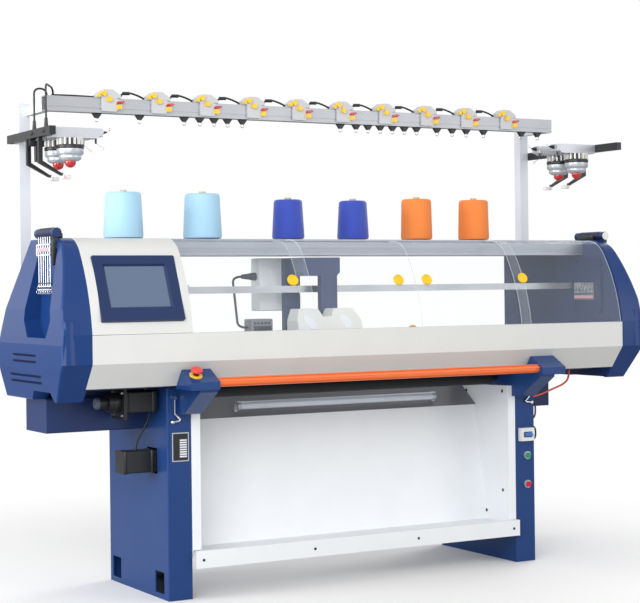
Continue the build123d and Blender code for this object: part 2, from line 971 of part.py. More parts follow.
with BuildPart() as fixed_windows:
    with BuildSketch(at_x(housing_right + running_gap)):
        hood_band(window_inset, window_sheet, table_front - running_gap)
    extrude(amount=window_joint - housing_right - running_gap)
    with BuildSketch(at_x(right_joint)):
        hood_band(window_inset, window_sheet, table_front - running_gap)
    extrude(amount=base_half - running_gap - right_joint)
    knob_on(window_joint - fixed_knob_set, window_inset)
    knob_on(right_joint + fixed_knob_start_set, window_inset)
save(fixed_windows, "fixed_windows")

with BuildPart() as window_left:
    with BuildSketch(at_x(left_slide_start)):
        hood_band(slide_inset, window_sheet, table_front + window_groove - cut_overrun)
    extrude(amount=window_meeting - running_gap - left_slide_start)
    knob_on(window_meeting - knob_end_set, slide_inset)
save(window_left, "window_left")

with BuildPart() as window_right:
    with BuildSketch(at_x(window_meeting + running_gap)):
        hood_band(slide_inset, window_sheet, table_front + window_groove - cut_overrun)
    extrude(amount=right_slide_end - window_meeting - running_gap)
    knob_on(window_meeting + knob_start_set, slide_inset)
save(window_right, "window_right")


# Yarn table, a hollow extrusion with a groove for the sliding windows
with BuildPart() as yarn_table:
    with BuildSketch(at_x(-base_half)):
        with Locations(((table_front + table_back) / 2, body_top - table_height / 2)):
            Rectangle(table_depth, table_height)
            hollow_depth = table_depth - 2 * (window_groove + table_wall)
            Rectangle(hollow_depth, table_height - 2 * table_wall, mode=Mode.SUBTRACT)
        groove_height = window_sheet + 2 * running_gap
        with Locations((table_front + window_groove / 2, body_top - slide_inset - window_sheet / 2)):
            Rectangle(window_groove, groove_height, mode=Mode.SUBTRACT)
        for share in table_flute_shares:
            with Locations((table_front, body_top - table_height * (1 - share))):
                Rectangle(2 * table_flute, table_flute, mode=Mode.SUBTRACT)
    extrude(amount=2 * base_half)
save(yarn_table, "yarn_table")


# Yarn cones, each with its paper core
cone_y = table_front + cone_set
cone_sizes = (
    (pale_cone_base, pale_cone_top, pale_cone_height),
    (pale_cone_base, pale_cone_top, pale_cone_height),
    (dark_cone_base, dark_cone_top, dark_cone_height),
    (dark_cone_base, dark_cone_top, dark_cone_height),
    (orange_cone_base, orange_cone_top, orange_cone_height),
    (orange_cone_base, orange_cone_top, orange_cone_height),
)
with BuildPart() as yarn_cones:
    for place_share, (base_size, top_size, height) in zip(cone_place_shares, cone_sizes):
        foot = body_top + core_foot
        with BuildSketch(Plane((panel_half * place_share, cone_y, 0), x_dir=(1, 0, 0), z_dir=(0, -1, 0))):
            Polygon(
                (0, body_top),
                (core_radius, body_top),
                (core_radius, foot),
                (base_size / 2 - core_foot, foot),
                (base_size / 2, foot + core_foot),
                (top_size / 2, body_top + height - core_foot),
                (top_size / 2 - core_foot, body_top + height),
                (core_radius, body_top + height),
                (core_radius, body_top + height + core_proud),
                (core_bore, body_top + height + core_proud),
                (core_bore, body_top + height),
                (0, body_top + height),
                align=None,
            )
        revolve(axis=Axis((panel_half * place_share, cone_y, 0), (0, 0, 1)))
save(yarn_cones, "yarn_cones")


# Carriage: cam plates over both beds, joined by a bridge above the carrier rail
carriage_left = carriage_centre - carriage_length / 2
carriage_right = carriage_centre + carriage_length / 2
column_right = carriage_right - column_set
bridge_top = bridge_foot + bridge_height

with BuildPart() as carriage_bridge:
    for side in (-1, 1):
        with BuildSketch(at_x(carriage_left)):
            Polygon(
                slope_point(side, cam_start, cam_gap),
                slope_point(side, cam_end, cam_gap),
                slope_point(side, cam_end, cam_gap + cam_thickness),
                slope_point(side, cam_start, cam_gap + cam_thickness),
                align=None,
            )
        extrude(amount=carriage_length)
        runner_inner = base_reach + rail_bar + running_gap
        with BuildSketch(at_x(carriage_left)):
            runner_y = bed_axis + side * (runner_inner + runner_depth / 2)
            with Locations((runner_y, runner_foot + runner_height / 2)):
                Rectangle(runner_depth, runner_height)
        extrude(amount=carriage_length)
    belt_top = pulley_height + pulley_radius + belt_thickness
    arm_top = belt_top + running_gap + belt_arm_thickness
    rear_y = bed_axis + tunnel_half + column_depth / 2
    with BuildSketch(at_z(column_foot)):
        with Locations((column_right - column_width / 2, bed_axis - tunnel_half - column_depth / 2)):
            Rectangle(column_width, column_depth)
        with Locations((column_right - rear_column_width + rear_post_width / 2, rear_y)):
            Rectangle(rear_post_width, column_depth)
    extrude(amount=bridge_top - column_foot)
    with BuildSketch(at_z(column_foot)):
        with Locations((column_right - rear_column_width / 2, rear_y)):
            Rectangle(rear_column_width, column_depth)
    extrude(amount=arm_top - column_foot)
    with BuildSketch(at_y(bed_axis - tunnel_half - column_depth)):
        Polygon(
            (column_right, bridge_foot),
            (column_right + bridge_bevel, bridge_foot + bridge_bevel),
            (column_right + bridge_bevel, bridge_top),
            (column_right - bridge_length, bridge_top),
            (column_right - bridge_length, bridge_foot + bridge_bevel),
            (column_right - bridge_length + bridge_bevel, bridge_foot),
            align=None,
        )
    extrude(amount=-2 * (tunnel_half + column_depth))
    arm_reach = base_block_rear + pulley_width - tunnel_half
    with BuildSketch(at_z(belt_top + running_gap)):
        with Locations((column_right - belt_arm_width / 2, bed_axis + tunnel_half + arm_reach / 2)):
            Rectangle(belt_arm_width, arm_reach)
    extrude(amount=belt_arm_thickness)
save(carriage_bridge, "carriage_bridge")

with BuildPart() as carriage_front_cover:
    lobe_width = carriage_length * 0.3
    lobe_slant = (cover_lobe_top - cover_dip_top) / 2
    with BuildSketch(at_y(bed_axis - cover_set)):
        Polygon(
            (carriage_left, cover_low),
            (carriage_left, cover_dip_top - lobe_slant),
            (carriage_left + lobe_slant, cover_lobe_top),
            (carriage_left + lobe_slant + lobe_width, cover_lobe_top),
            (carriage_left + 2 * lobe_slant + lobe_width, cover_dip_top),
            (carriage_right - 3 * lobe_slant - lobe_width, cover_dip_top),
            (carriage_right - 2 * lobe_slant - lobe_width, cover_lobe_top),
            (carriage_right - 2 * lobe_slant, cover_lobe_top),
            (carriage_right, cover_dip_top - lobe_slant),
            (carriage_right, cover_low),
            align=None,
        )
    extrude(amount=cover_depth)
    front_y = bed_axis - cover_set - cover_depth
    with BuildSketch(at_x(carriage_left - cut_overrun)):
        Polygon(
            (front_y - cut_overrun, cover_lobe_top - cover_lean_height),
            (front_y, cover_lobe_top - cover_lean_height),
            (front_y + cover_lean, cover_lobe_top),
            (front_y + cover_lean, cover_lobe_top + cut_overrun),
            (front_y - cut_overrun, cover_lobe_top + cut_overrun),
            align=None,
        )
    extrude(amount=carriage_length + 2 * cut_overrun, mode=Mode.SUBTRACT)
    with BuildSketch(at_x(carriage_left - cut_overrun)):
        Polygon(
            slope_point(-1, 0, cam_gap + cam_thickness),
            slope_point(-1, bed_length + cover_depth, cam_gap + cam_thickness),
            slope_point(-1, bed_length + cover_depth, -bed_length),
            slope_point(-1, 0, -bed_length),
            align=None,
        )
    extrude(amount=carriage_length + 2 * cut_overrun, mode=Mode.SUBTRACT)
save(carriage_front_cover, "carriage_front_cover")

with BuildPart() as carriage_wiring_box:
    box_y = bed_axis + tunnel_half + column_depth
    box_left = carriage_left - box_left_set + box_width
    with BuildSketch(at_y(box_y)):
        with Locations((box_left + box_width / 2, (box_foot + bridge_top) / 2)):
            RectangleRounded(box_width, bridge_top - box_foot, box_corner)
    extrude(amount=-box_depth)
    plug_z = bridge_top - plug_drop
    plug_y = box_y + box_depth / 2
    with BuildSketch(at_x(box_left)):
        with Locations((plug_y, plug_z)):
            Circle(plug_radius)
    extrude(amount=-plug_length)
    selector_y = bed_axis + (selector_start + selector_end) / 2
    selector_z = bed_apex + (selector_rise - selector_drop) / 2
    with BuildSketch(at_x(carriage_left)):
        with Locations((selector_y, selector_z)):
            RectangleRounded(selector_end - selector_start, selector_rise + selector_drop, box_corner)
    extrude(amount=-selector_length)
    cable_start = (box_left - plug_length, plug_y, plug_z)
    cable_end = (carriage_left - selector_length, selector_y, bed_apex + selector_rise / 2)
    cable_x = min(cable_start[0], cable_end[0]) - plug_cable_out
    with BuildLine() as cable_route:
        FilletPolyline(
            cable_start,
            (cable_x, cable_start[1], cable_start[2]),
            (cable_x, cable_end[1], cable_end[2]),
            cable_end,
            radius=plug_cable_bend,
        )
    with BuildSketch(Plane(cable_start, z_dir=(-1, 0, 0))):
        RegularPolygon(plug_cable_radius, lead_sides)
    sweep(path=cable_route.wires()[0])
save(carriage_wiring_box, "carriage_wiring_box")


# Yarn carrier, hung over the carrier rail
with BuildPart() as yarn_carrier:
    rail_top = carrier_rail_foot + carrier_rail_height
    hold = carrier_rail_thickness / 2 + running_gap
    with BuildSketch(at_x(carrier_place - carrier_width / 2)):
        with Locations((bed_axis, carrier_rail_foot + carrier_rail_height / 2)):
            Rectangle(2 * (hold + carrier_wall), carrier_rail_height + 2 * (running_gap + carrier_wall))
            Rectangle(2 * hold, carrier_rail_height + 2 * running_gap, mode=Mode.SUBTRACT)
        arm_top = carrier_rail_foot - running_gap - carrier_wall
        arm_foot = bed_apex + carrier_nose_gap
        with Locations((bed_axis, (arm_top + arm_foot) / 2)):
            Rectangle(carrier_arm, arm_top - arm_foot)
    extrude(amount=carrier_width)
    with BuildSketch(at_x(carrier_place - carrier_wall / 2)):
        with Locations((bed_axis, rail_top + running_gap + carrier_wall + carrier_horn / 2)):
            Rectangle(carrier_wall, carrier_horn)
    extrude(amount=carrier_wall)
save(yarn_carrier, "yarn_carrier")


# Belt drive of the carriage
def make_pulley(x):
    with BuildPart() as pulley:
        near_face = bed_axis + base_block_rear + running_gap
        with BuildSketch(at_y(near_face)):
            with Locations((x, pulley_height)):
                Circle(pulley_radius)
        extrude(amount=-pulley_width)
        with BuildSketch(at_y(near_face)):
            with Locations((x, pulley_height)):
                Circle(pulley_shaft)
        extrude(amount=pulley_shaft_depth)
    return pulley


save(make_pulley(-pulley_place), "drive_pulley")
save(make_pulley(pulley_place), "idler_pulley")

with BuildPart() as drive_belt:
    belt_inner = pulley_radius + running_gap
    belt_face = bed_axis + base_block_rear + running_gap + (pulley_width - belt_width) / 2
    with BuildSketch(at_y(belt_face)):
        with Locations((0, pulley_height)):
            SlotCenterToCenter(2 * pulley_place, 2 * (pulley_radius + belt_thickness))
            SlotCenterToCenter(2 * pulley_place, 2 * belt_inner, mode=Mode.SUBTRACT)
    extrude(amount=-belt_width)
save(drive_belt, "drive_belt")


# Motors: carriage drive, take-down and racking
with BuildPart() as servo_motors:
    motor_back = bed_axis - base_reach
    with BuildSketch(at_y(motor_back)):
        with Locations((-pulley_place, leg_height + base_block_height / 2)):
            RectangleRounded(motor_size, motor_size, leg_corner)
    extrude(amount=carriage_motor_length)
    takedown_face = -leg_spacing / 2 + leg_width / 2 - leg_wall
    takedown_y = leg_front + takedown_motor_set + motor_size / 2
    with BuildSketch(at_x(takedown_face)):
        with Locations((takedown_y, takedown_motor_foot + motor_size / 2)):
            RectangleRounded(motor_size, motor_size, leg_corner)
    extrude(amount=-takedown_motor_length - leg_width + leg_wall)
    racking_motor_y = leg_front + racking_motor_set + racking_motor_size / 2
    racking_motor_z = leg_height - racking_motor_drop - racking_motor_size / 2
    plate_x = racking_motor_left + racking_hub_length + racking_motor_length / 4
    with BuildSketch(at_x(plate_x)):
        with Locations((racking_motor_y, racking_motor_z)):
            RectangleRounded(racking_motor_size, racking_motor_size, leg_corner)
    extrude(amount=racking_motor_length - racking_motor_length / 4 - racking_hub_length)
    with BuildSketch(at_x(plate_x)):
        with Locations((racking_motor_y, leg_height - racking_plate_side / 2)):
            Rectangle(racking_plate_side, racking_plate_side)
    extrude(amount=-racking_plate)
    with BuildSketch(at_x(plate_x - racking_plate)):
        with Locations((racking_motor_y, racking_motor_z)):
            Circle(racking_motor_size * 0.45)
    extrude(amount=-racking_motor_length / 4 + racking_plate)
    with BuildSketch(at_x(racking_motor_left + racking_hub_length)):
        with Locations((racking_motor_y, racking_motor_z)):
            Circle(racking_hub_radius)
    extrude(amount=-racking_hub_length)
save(servo_motors, "servo_motors")


# Take-down rollers between the legs
def make_roller(y, radius):
    with BuildPart() as roller:
        with BuildSketch(at_x(-roller_half)):
            with Locations((y, roller_height)):
                Circle(radius)
        extrude(amount=2 * roller_half)
        with BuildSketch(at_x(-leg_inner - leg_wall / 2)):
            with Locations((y, roller_height)):
                Circle(roller_shaft)
        extrude(amount=2 * leg_inner + leg_wall)
    return roller


save(make_roller(main_roller_y, roller_radius), "takedown_roller")
save(make_roller(press_roller_y, press_roller_radius), "press_roller")

with BuildPart() as electrical_box:
    ebox_inner = leg_spacing / 2 + leg_width / 2
    with BuildSketch(at_x(-ebox_inner)):
        with Locations((leg_front + ebox_front_set + ebox_depth / 2, (ebox_foot + ebox_top) / 2)):
            RectangleRounded(ebox_depth, ebox_top - ebox_foot, leg_corner)
    extrude(amount=ebox_inner - ebox_end)
    with BuildSketch(at_x(ebox_inner)):
        with Locations((leg_front + ebox_front_set + ebox_depth / 2, (ebox_foot + ebox_top) / 2)):
            RectangleRounded(ebox_depth, ebox_top - ebox_foot, leg_corner)
    extrude(amount=right_box_length)
save(electrical_box, "electrical_box")


# Start rod and its two brackets
rod_y = leg_front - rod_reach
bracket_lean = radians(panel_undercut)


def panel_line(z, gap):
    """Depth of a line that runs under the front panel's slanting face."""
    return body_front + (panel_fold - z) * tan(bracket_lean) - gap / cos(bracket_lean)


with BuildPart() as rod_brackets:
    for side in (-1, 1):
        inner_x = side * (rod_half + running_gap)
        with BuildSketch(at_x(inner_x)):
            Polygon(
                (leg_front - bracket_front, bracket_chin),
                (leg_front - bracket_front, bracket_top - bracket_slope_rise),
                (panel_line(bracket_top, bracket_panel_gap), bracket_top),
                (panel_line(bracket_chin, bracket_panel_gap), bracket_chin),
                align=None,
            )
        extrude(amount=side * bracket_width)
        with BuildSketch(at_x(inner_x)):
            Polygon(
                (leg_front - bracket_front + bracket_nose, bracket_chin),
                (leg_front, bracket_chin),
                (leg_front, bracket_foot),
                (leg_front - bracket_arm_depth, bracket_foot),
                (leg_front - bracket_front + bracket_nose, bracket_chin - bracket_nose / 2),
                align=None,
            )
        extrude(amount=side * gusset_width)
        with BuildSketch(at_x(inner_x)):
            with Locations((rod_y, rod_height)):
                Circle(rod_shaft + shaft_gap)
        extrude(amount=side * (rod_shaft_length + running_gap), mode=Mode.SUBTRACT)
    slope_depth = panel_line(bracket_top, bracket_panel_gap) - leg_front + bracket_front
    slope_tilt = atan2(bracket_slope_rise, slope_depth)
    stop_plane = Plane(
        origin=(
            -rod_half - running_gap - bracket_width * estop_set_share,
            leg_front - bracket_front + slope_depth / 2,
            bracket_top - bracket_slope_rise / 2,
        ),
        x_dir=(1, 0, 0),
        z_dir=(0, -sin(slope_tilt), cos(slope_tilt)),
    )
    with BuildSketch(stop_plane):
        Circle(estop_stem + running_gap)
    extrude(amount=-estop_stem_length, mode=Mode.SUBTRACT)
save(rod_brackets, "rod_brackets")

with BuildPart() as start_rod:
    with BuildSketch(at_x(-rod_half)):
        with Locations((rod_y, rod_height)):
            Circle(rod_radius)
            with PolarLocations(rod_radius, rod_groove_count):
                Rectangle(2 * rod_groove, rod_groove_width, mode=Mode.SUBTRACT)
    extrude(amount=2 * rod_half)
    with BuildSketch(at_x(-rod_half - rod_shaft_length)):
        with Locations((rod_y, rod_height)):
            Circle(rod_shaft)
    extrude(amount=2 * (rod_half + rod_shaft_length))
save(start_rod, "start_rod")

with BuildPart() as estop_button:
    cap_lift = estop_collar_height + estop_stem_length
    with BuildSketch(stop_plane):
        Circle(estop_stem)
    extrude(amount=cap_lift)
    with BuildSketch(stop_plane.offset(cap_lift)):
        Circle(estop_radius)
    extrude(amount=estop_cap)
    press_line = Axis(stop_plane.origin, stop_plane.z_dir)
    cap_rim = estop_button.edges().filter_by(GeomType.CIRCLE).group_by(press_line)[-1]
    fillet(cap_rim, radius=estop_cap / 3)
save(estop_button, "estop_button")


# Controls on the front of the right leg, and the collar of the emergency stop
button_x = leg_spacing / 2 + leg_width * 0.1
breaker_x = leg_spacing / 2
breaker_front = leg_front - breaker_depth

with BuildPart() as pushbutton_bezels:
    with BuildSketch(at_y(leg_front)):
        with Locations((button_x, start_button_height), (button_x, stop_button_height)):
            Circle(button_bezel)
            Circle(button_radius + running_gap, mode=Mode.SUBTRACT)
    extrude(amount=button_bezel_depth)
    with BuildSketch(stop_plane):
        Circle(estop_collar)
        Circle(estop_stem + running_gap, mode=Mode.SUBTRACT)
    extrude(amount=estop_collar_height)
save(pushbutton_bezels, "pushbutton_bezels")


def make_button(height):
    with BuildPart() as button:
        with BuildSketch(at_y(leg_front - button_well)):
            with Locations((button_x, height)):
                Circle(button_radius)
        extrude(amount=button_bezel_depth - button_well + button_proud)
    return button


save(make_button(start_button_height), "start_button")
save(make_button(stop_button_height), "stop_button")

with BuildPart() as breaker:
    with BuildSketch(at_y(leg_front)):
        with Locations((breaker_x, breaker_centre)):
            Rectangle(breaker_width, breaker_height)
    extrude(amount=breaker_depth)
    with BuildSketch(at_y(breaker_front)):
        with Locations((breaker_x, breaker_centre)):
            Rectangle(breaker_slot_width, breaker_slot_height)
    extrude(amount=-toggle_radius - running_gap, mode=Mode.SUBTRACT)
save(breaker, "breaker")

with BuildPart() as breaker_toggle:
    with BuildSketch(at_x(breaker_x - toggle_width / 2)):
        with Locations((breaker_front, breaker_centre)):
            Circle(toggle_radius)
        with Locations((breaker_front - toggle_reach / 2, breaker_centre)):
            Rectangle(toggle_reach, toggle_radius)
    extrude(amount=toggle_width)
save(breaker_toggle, "breaker_toggle")


# Cranked levers on the fronts of both legs
with BuildPart() as clamp_lever_right:
    pivot_x = leg_spacing / 2 + leg_width / 2 - lever_pivot_set
    crank_y = leg_front - lever_boss_depth + lever_rod
    crank_top = (pivot_x, crank_y, lever_pivot_height)
    crank_knee = (pivot_x, crank_y, lever_pivot_height - lever_drop)
    crank_foot = (pivot_x - lever_bend, crank_y, crank_knee[2] - lever_bend)
    crank_ball = (crank_foot[0] + lever_hook, crank_y, crank_foot[2] - lever_ball / 2)
    with BuildSketch(at_y(leg_front - running_gap)):
        with Locations((pivot_x, lever_pivot_height)):
            Circle(lever_boss)
    extrude(amount=lever_boss_depth)
    with BuildLine() as crank:
        FilletPolyline(crank_top, crank_knee, crank_foot, crank_ball, radius=lever_ball / 2)
    with BuildSketch(Plane(crank_top, z_dir=crank.line % 0)):
        Circle(lever_rod)
    sweep(path=crank.wires()[0])
    with Locations(crank_ball):
        Sphere(lever_ball)
save(clamp_lever_right, "clamp_lever_right")

with BuildPart() as clamp_lever_left:
    mirror(clamp_lever_right.part, about=Plane.YZ)
save(clamp_lever_left, "clamp_lever_left")


# Fabric bin between the legs
with BuildPart() as fabric_bin:
    lip_y = leg_front - bin_lip_reach
    with BuildSketch(at_x(-leg_inner + bin_sheet)):
        Polygon(
            (lip_y, bin_lip_foot),
            (lip_y, bin_lip_top),
            (lip_y + bin_lip_return, bin_lip_top),
            (lip_y + bin_lip_return, bin_floor),
            (leg_front + bin_back_foot, bin_floor),
            (leg_front + bin_back_top, bin_back_height),
            (leg_front + bin_back_top + bin_sheet, bin_back_height),
            (leg_front + bin_back_foot + bin_sheet, bin_floor - bin_sheet),
            (lip_y + bin_lip_return - bin_sheet, bin_floor - bin_sheet),
            (lip_y + bin_lip_return - bin_sheet, bin_lip_top - bin_sheet),
            (lip_y + bin_sheet, bin_lip_top - bin_sheet),
            (lip_y + bin_sheet, bin_lip_foot),
            align=None,
        )
    extrude(amount=2 * (leg_inner - bin_sheet))
    for side in (-1, 1):
        with BuildSketch(at_x(side * leg_inner)):
            Polygon(
                (leg_front, bin_floor),
                (leg_front, bin_side_top),
                (leg_front + upper_sheet_set, upper_sheet_top),
                (leg_front + bin_back_top, bin_back_height),
                (leg_front + bin_back_foot, bin_floor),
                align=None,
            )
        extrude(amount=-side * bin_sheet)
save(fabric_bin, "fabric_bin")

upper_rise = upper_sheet_top - bin_back_height
upper_run = upper_sheet_set - bin_back_top
upper_plane = Plane(
    origin=(0, leg_front + bin_back_top, bin_back_height),
    x_dir=(1, 0, 0),
    z_dir=(0, -upper_rise, upper_run),
)
upper_length = (upper_rise**2 + upper_run**2) ** 0.5

with BuildPart() as bin_upper_sheet:
    with BuildSketch(upper_plane):
        with Locations((0, upper_length / 2)):
            Rectangle(2 * (leg_inner - bin_sheet), upper_length)
    extrude(amount=bin_sheet)
save(bin_upper_sheet, "bin_upper_sheet")

with BuildPart() as work_lamp:
    lamp_axis = upper_plane.offset(bin_sheet + lamp_lift)
    lamp_centre = lamp_axis.from_local_coords((lamp_shift, lamp_along, 0))
    with BuildSketch(at_x(lamp_centre.X - lamp_half)):
        with Locations((lamp_centre.Y, lamp_centre.Z)):
            Circle(lamp_radius)
    extrude(amount=2 * lamp_half)
    with BuildSketch(upper_plane.offset(bin_sheet)):
        with Locations((lamp_shift - lamp_half, lamp_along), (lamp_shift + lamp_half, lamp_along)):
            Rectangle(lamp_clip, lamp_radius)
    extrude(amount=lamp_lift)
save(work_lamp, "work_lamp")


# Yarn stand: posts with arms, the top rail and what it carries
post_y = body_back + post_size / 2
rail_y = leg_front + stand_rail_set
rail_front = rail_y - stand_rail_depth / 2
rail_top = stand_rail_foot + stand_rail_height

with BuildPart() as posts:
    for side in (-1, 1):
        with BuildSketch(at_z(post_foot)):
            with Locations((side * panel_half, post_y)):
                Rectangle(post_size, post_size)
        extrude(amount=post_top - post_foot)
        with BuildSketch(at_z(post_foot)):
            with Locations((side * panel_half, post_y)):
                Rectangle(post_size - 2 * post_wall, post_size - 2 * post_wall)
        extrude(amount=post_top - post_foot - post_wall, mode=Mode.SUBTRACT)
        arm_x = side * (stand_rail_half - arm_width / 2)
        with BuildSketch(at_y(body_back)):
            with Locations((arm_x, stand_rail_foot + arm_height / 2)):
                Rectangle(arm_width, arm_height)
        extrude(amount=body_back - rail_y - stand_rail_depth / 2)
save(posts, "posts")

with BuildPart() as top_rail:
    with BuildSketch(at_x(-stand_rail_half)):
        with Locations((rail_y, stand_rail_foot + stand_rail_height / 2)):
            Rectangle(stand_rail_depth, stand_rail_height)
            Rectangle(
                stand_rail_depth - 2 * stand_rail_wall,
                stand_rail_height - 2 * stand_rail_wall,
                mode=Mode.SUBTRACT,
            )
        with Locations((rail_front, stand_rail_foot + stand_rail_height / 4)):
            Rectangle(stand_rail_wall, stand_rail_flute, mode=Mode.SUBTRACT)
    extrude(amount=2 * stand_rail_half)
save(top_rail, "top_rail")

unit_places = [(index - (unit_count - 1) / 2) * unit_pitch for index in range(unit_count)]
plate_front = rail_front - unit_plate_thickness
roof_half = unit_roof_width / 2
plate_half = unit_plate_width / 2

with BuildPart() as tension_units:
    for x in unit_places:
        with BuildSketch(at_y(rail_front)):
            Polygon(
                (x - plate_half, rail_top),
                (x - plate_half, rail_top - unit_plate_drop),
                (x + plate_half, rail_top - unit_plate_drop),
                (x + plate_half + unit_tab, rail_top - unit_plate_drop + unit_square),
                (x + plate_half + unit_tab, rail_top - unit_square / 2),
                (x + plate_half, rail_top),
                align=None,
            )
        extrude(amount=unit_plate_thickness)
        with BuildSketch(at_y(plate_front)):
            Polygon(
                (x - roof_half, rail_top),
                (x - roof_half, rail_top + unit_roof_height / 3),
                (x - roof_half / 3, rail_top + unit_roof_height),
                (x + roof_half / 3, rail_top + unit_roof_height),
                (x + roof_half, rail_top + unit_roof_height / 3),
                (x + roof_half, rail_top),
                align=None,
            )
        extrude(amount=-unit_roof_depth)
save(tension_units, "tension_units")

with BuildPart() as tension_knobs:
    with BuildSketch(at_y(plate_front)):
        for x in unit_places:
            with Locations(
                (x - plate_half + unit_knob / 2, rail_top + unit_roof_height / 2),
                (x, rail_top - unit_knob / 2),
            ):
                Circle(unit_knob)
            with Locations((x - roof_half + unit_knob_small, rail_top + unit_roof_height / 4)):
                Circle(unit_knob_small)
            tab_z = rail_top - unit_plate_drop / 2 - unit_square / 2
            with Locations((x + plate_half + unit_tab / 2, tab_z)):
                Rectangle(unit_square, unit_square)
    extrude(amount=unit_knob_depth)
save(tension_knobs, "tension_knobs")

with BuildPart() as yarn_guides:
    with BuildSketch(at_y(rail_y + guide_thickness / 2)):
        for share in guide_place_shares:
            x = stand_rail_half * share
            Polygon(
                (x - guide_width / 2, stand_rail_foot),
                (x + guide_width / 2, stand_rail_foot),
                (x + guide_foot_width / 2, stand_rail_foot - guide_height),
                (x - guide_foot_width / 2, stand_rail_foot - guide_height),
                align=None,
            )
    extrude(amount=guide_thickness)
save(yarn_guides, "yarn_guides")

# Side tensioners on top of the end covers, with hanging arms
with BuildPart() as side_tensioners:
    tensioner_front = body_front + tensioner_front_set
    for side in (-1, 1):
        tensioner_x = side * (panel_half + tensioner_out)
        tensioner_z = body_top + tensioner_radius
        with BuildSketch(at_y(tensioner_front)):
            with Locations((tensioner_x, tensioner_z)):
                Circle(tensioner_radius)
        extrude(amount=-tensioner_length)
        stand_x = side * (panel_half + cover_top_width / 2)
        with BuildSketch(at_z(body_top)):
            with Locations((stand_x + side * tensioner_stand / 2, tensioner_front + tensioner_length / 2)):
                Rectangle(2 * tensioner_stand, tensioner_length / 2)
        extrude(amount=tensioner_radius)
        arm_x = side * (panel_half + tension_arm_out)
        first_arm = tensioner_front + (tensioner_length - (tension_arm_count - 1) * tension_arm_pitch) / 2
        arm_places = [first_arm + index * tension_arm_pitch for index in range(tension_arm_count)]
        with BuildSketch(at_z(tensioner_z)):
            for y in arm_places:
                with Locations((arm_x - side * tension_arm_radius, y)):
                    Rectangle(2 * tension_arm_radius, 2 * tension_arm_radius)
        extrude(amount=-tension_arm_drop)
        with BuildSketch(at_x(arm_x)):
            with Locations(((arm_places[0] + arm_places[-1]) / 2, body_top - tension_frame_height)):
                frame_length = arm_places[-1] - arm_places[0] + tension_arm_pitch
                Rectangle(frame_length, tension_frame_height)
                inner_length = frame_length - 2 * tension_frame_bar
                Rectangle(inner_length, tension_frame_height - 2 * tension_frame_bar, mode=Mode.SUBTRACT)
        extrude(amount=side * tension_frame_bar)
save(side_tensioners, "side_tensioners")


# Storage feeders on bars beside the posts
bar_out = panel_half + post_size / 2 + feeder_bar_width / 2
bar_top = feeder_bar_foot + feeder_bar_height
bar_back = post_y + post_size / 2 + feeder_bar_back
feeder_sides = ((-1, left_bar_front, left_feeder_places), (1, right_bar_front, right_feeder_places))
feeder_foot = bar_top - feeder_height
drum_x = bar_out - feeder_bar_width / 2 - drum_set

with BuildPart() as feeder_bars:
    for side, front, places in feeder_sides:
        with BuildSketch(at_z(feeder_bar_foot)):
            with Locations((side * bar_out, (leg_front + front + bar_back) / 2)):
                Rectangle(feeder_bar_width, bar_back - leg_front - front)
        extrude(amount=feeder_bar_height)
        for place in places:
            hang_x = side * bar_out
            hang_z = feeder_bar_foot - hanger_drop
            with BuildSketch(at_y(leg_front + place + hanger_gap)):
                Polygon(
                    (hang_x - side * hanger_thickness / 2, feeder_bar_foot),
                    (hang_x + side * hanger_thickness / 2, feeder_bar_foot),
                    (hang_x + side * hanger_thickness / 2, hang_z),
                    (hang_x - side * hanger_lean, hang_z - hanger_fall),
                    (hang_x - side * hanger_lean, hang_z - hanger_fall + hanger_arm),
                    (hang_x - side * hanger_thickness / 2, hang_z + hanger_arm),
                    align=None,
                )
            extrude(amount=-hanger_width)
save(feeder_bars, "feeder_bars")

with BuildPart() as feeder_bodies:
    for side, front, places in feeder_sides:
        root_x = side * (bar_out - feeder_bar_width / 2)
        for place in places:
            with BuildSketch(at_y(leg_front + place + feeder_depth / 2)):
                Polygon(
                    (root_x, feeder_foot),
                    (root_x, bar_top),
                    (root_x - side * (feeder_length - feeder_nose), bar_top),
                    (root_x - side * feeder_length, bar_top - feeder_nose_height / 2),
                    (root_x - side * feeder_length, bar_top - feeder_nose_height),
                    (root_x - side * (feeder_length - feeder_nose), feeder_foot),
                    align=None,
                )
            extrude(amount=feeder_depth)
            with BuildSketch(at_z(feeder_foot)):
                with Locations((side * drum_x, leg_front + place)):
                    Circle(drum_shaft + shaft_gap)
            extrude(amount=drum_shaft_depth, mode=Mode.SUBTRACT)
save(feeder_bodies, "feeder_bodies")


def make_drum(x, y):
    """A feeder's finned drum with its bowl and red lens, turning on a short shaft."""
    fin_foot = feeder_foot - running_gap - drum_fin_height
    ring_foot = fin_foot - drum_ring_height
    bowl_foot = ring_foot - drum_bowl_height
    lens_foot = bowl_foot - drum_lens_height
    with BuildPart() as drum:
        with BuildSketch(Plane((x, y, 0), x_dir=(1, 0, 0), z_dir=(0, -1, 0))):
            Polygon(
                (0, lens_foot),
                (0, feeder_foot + drum_shaft_depth - running_gap),
                (drum_shaft, feeder_foot + drum_shaft_depth - running_gap),
                (drum_shaft, feeder_foot - running_gap),
                (drum_radius - drum_shaft, feeder_foot - running_gap),
                (drum_radius - drum_shaft, fin_foot),
                (drum_radius, fin_foot),
                (drum_radius, (ring_foot + bowl_foot) / 2),
                (drum_bowl_radius, bowl_foot),
                (drum_lens_radius, bowl_foot),
                (drum_lens_radius, bowl_foot - drum_lens_height / 3),
                (drum_lens_radius / 2, lens_foot),
                align=None,
            )
        revolve(axis=Axis((x, y, 0), (0, 0, 1)))
        with BuildSketch(at_z(feeder_foot)):
            with Locations((x, y)):
                with PolarLocations(drum_radius - drum_shaft, drum_slot_count):
                    Rectangle(2 * drum_fin_depth, drum_slot)
        extrude(amount=-running_gap - drum_fin_height, mode=Mode.SUBTRACT)
    return drum


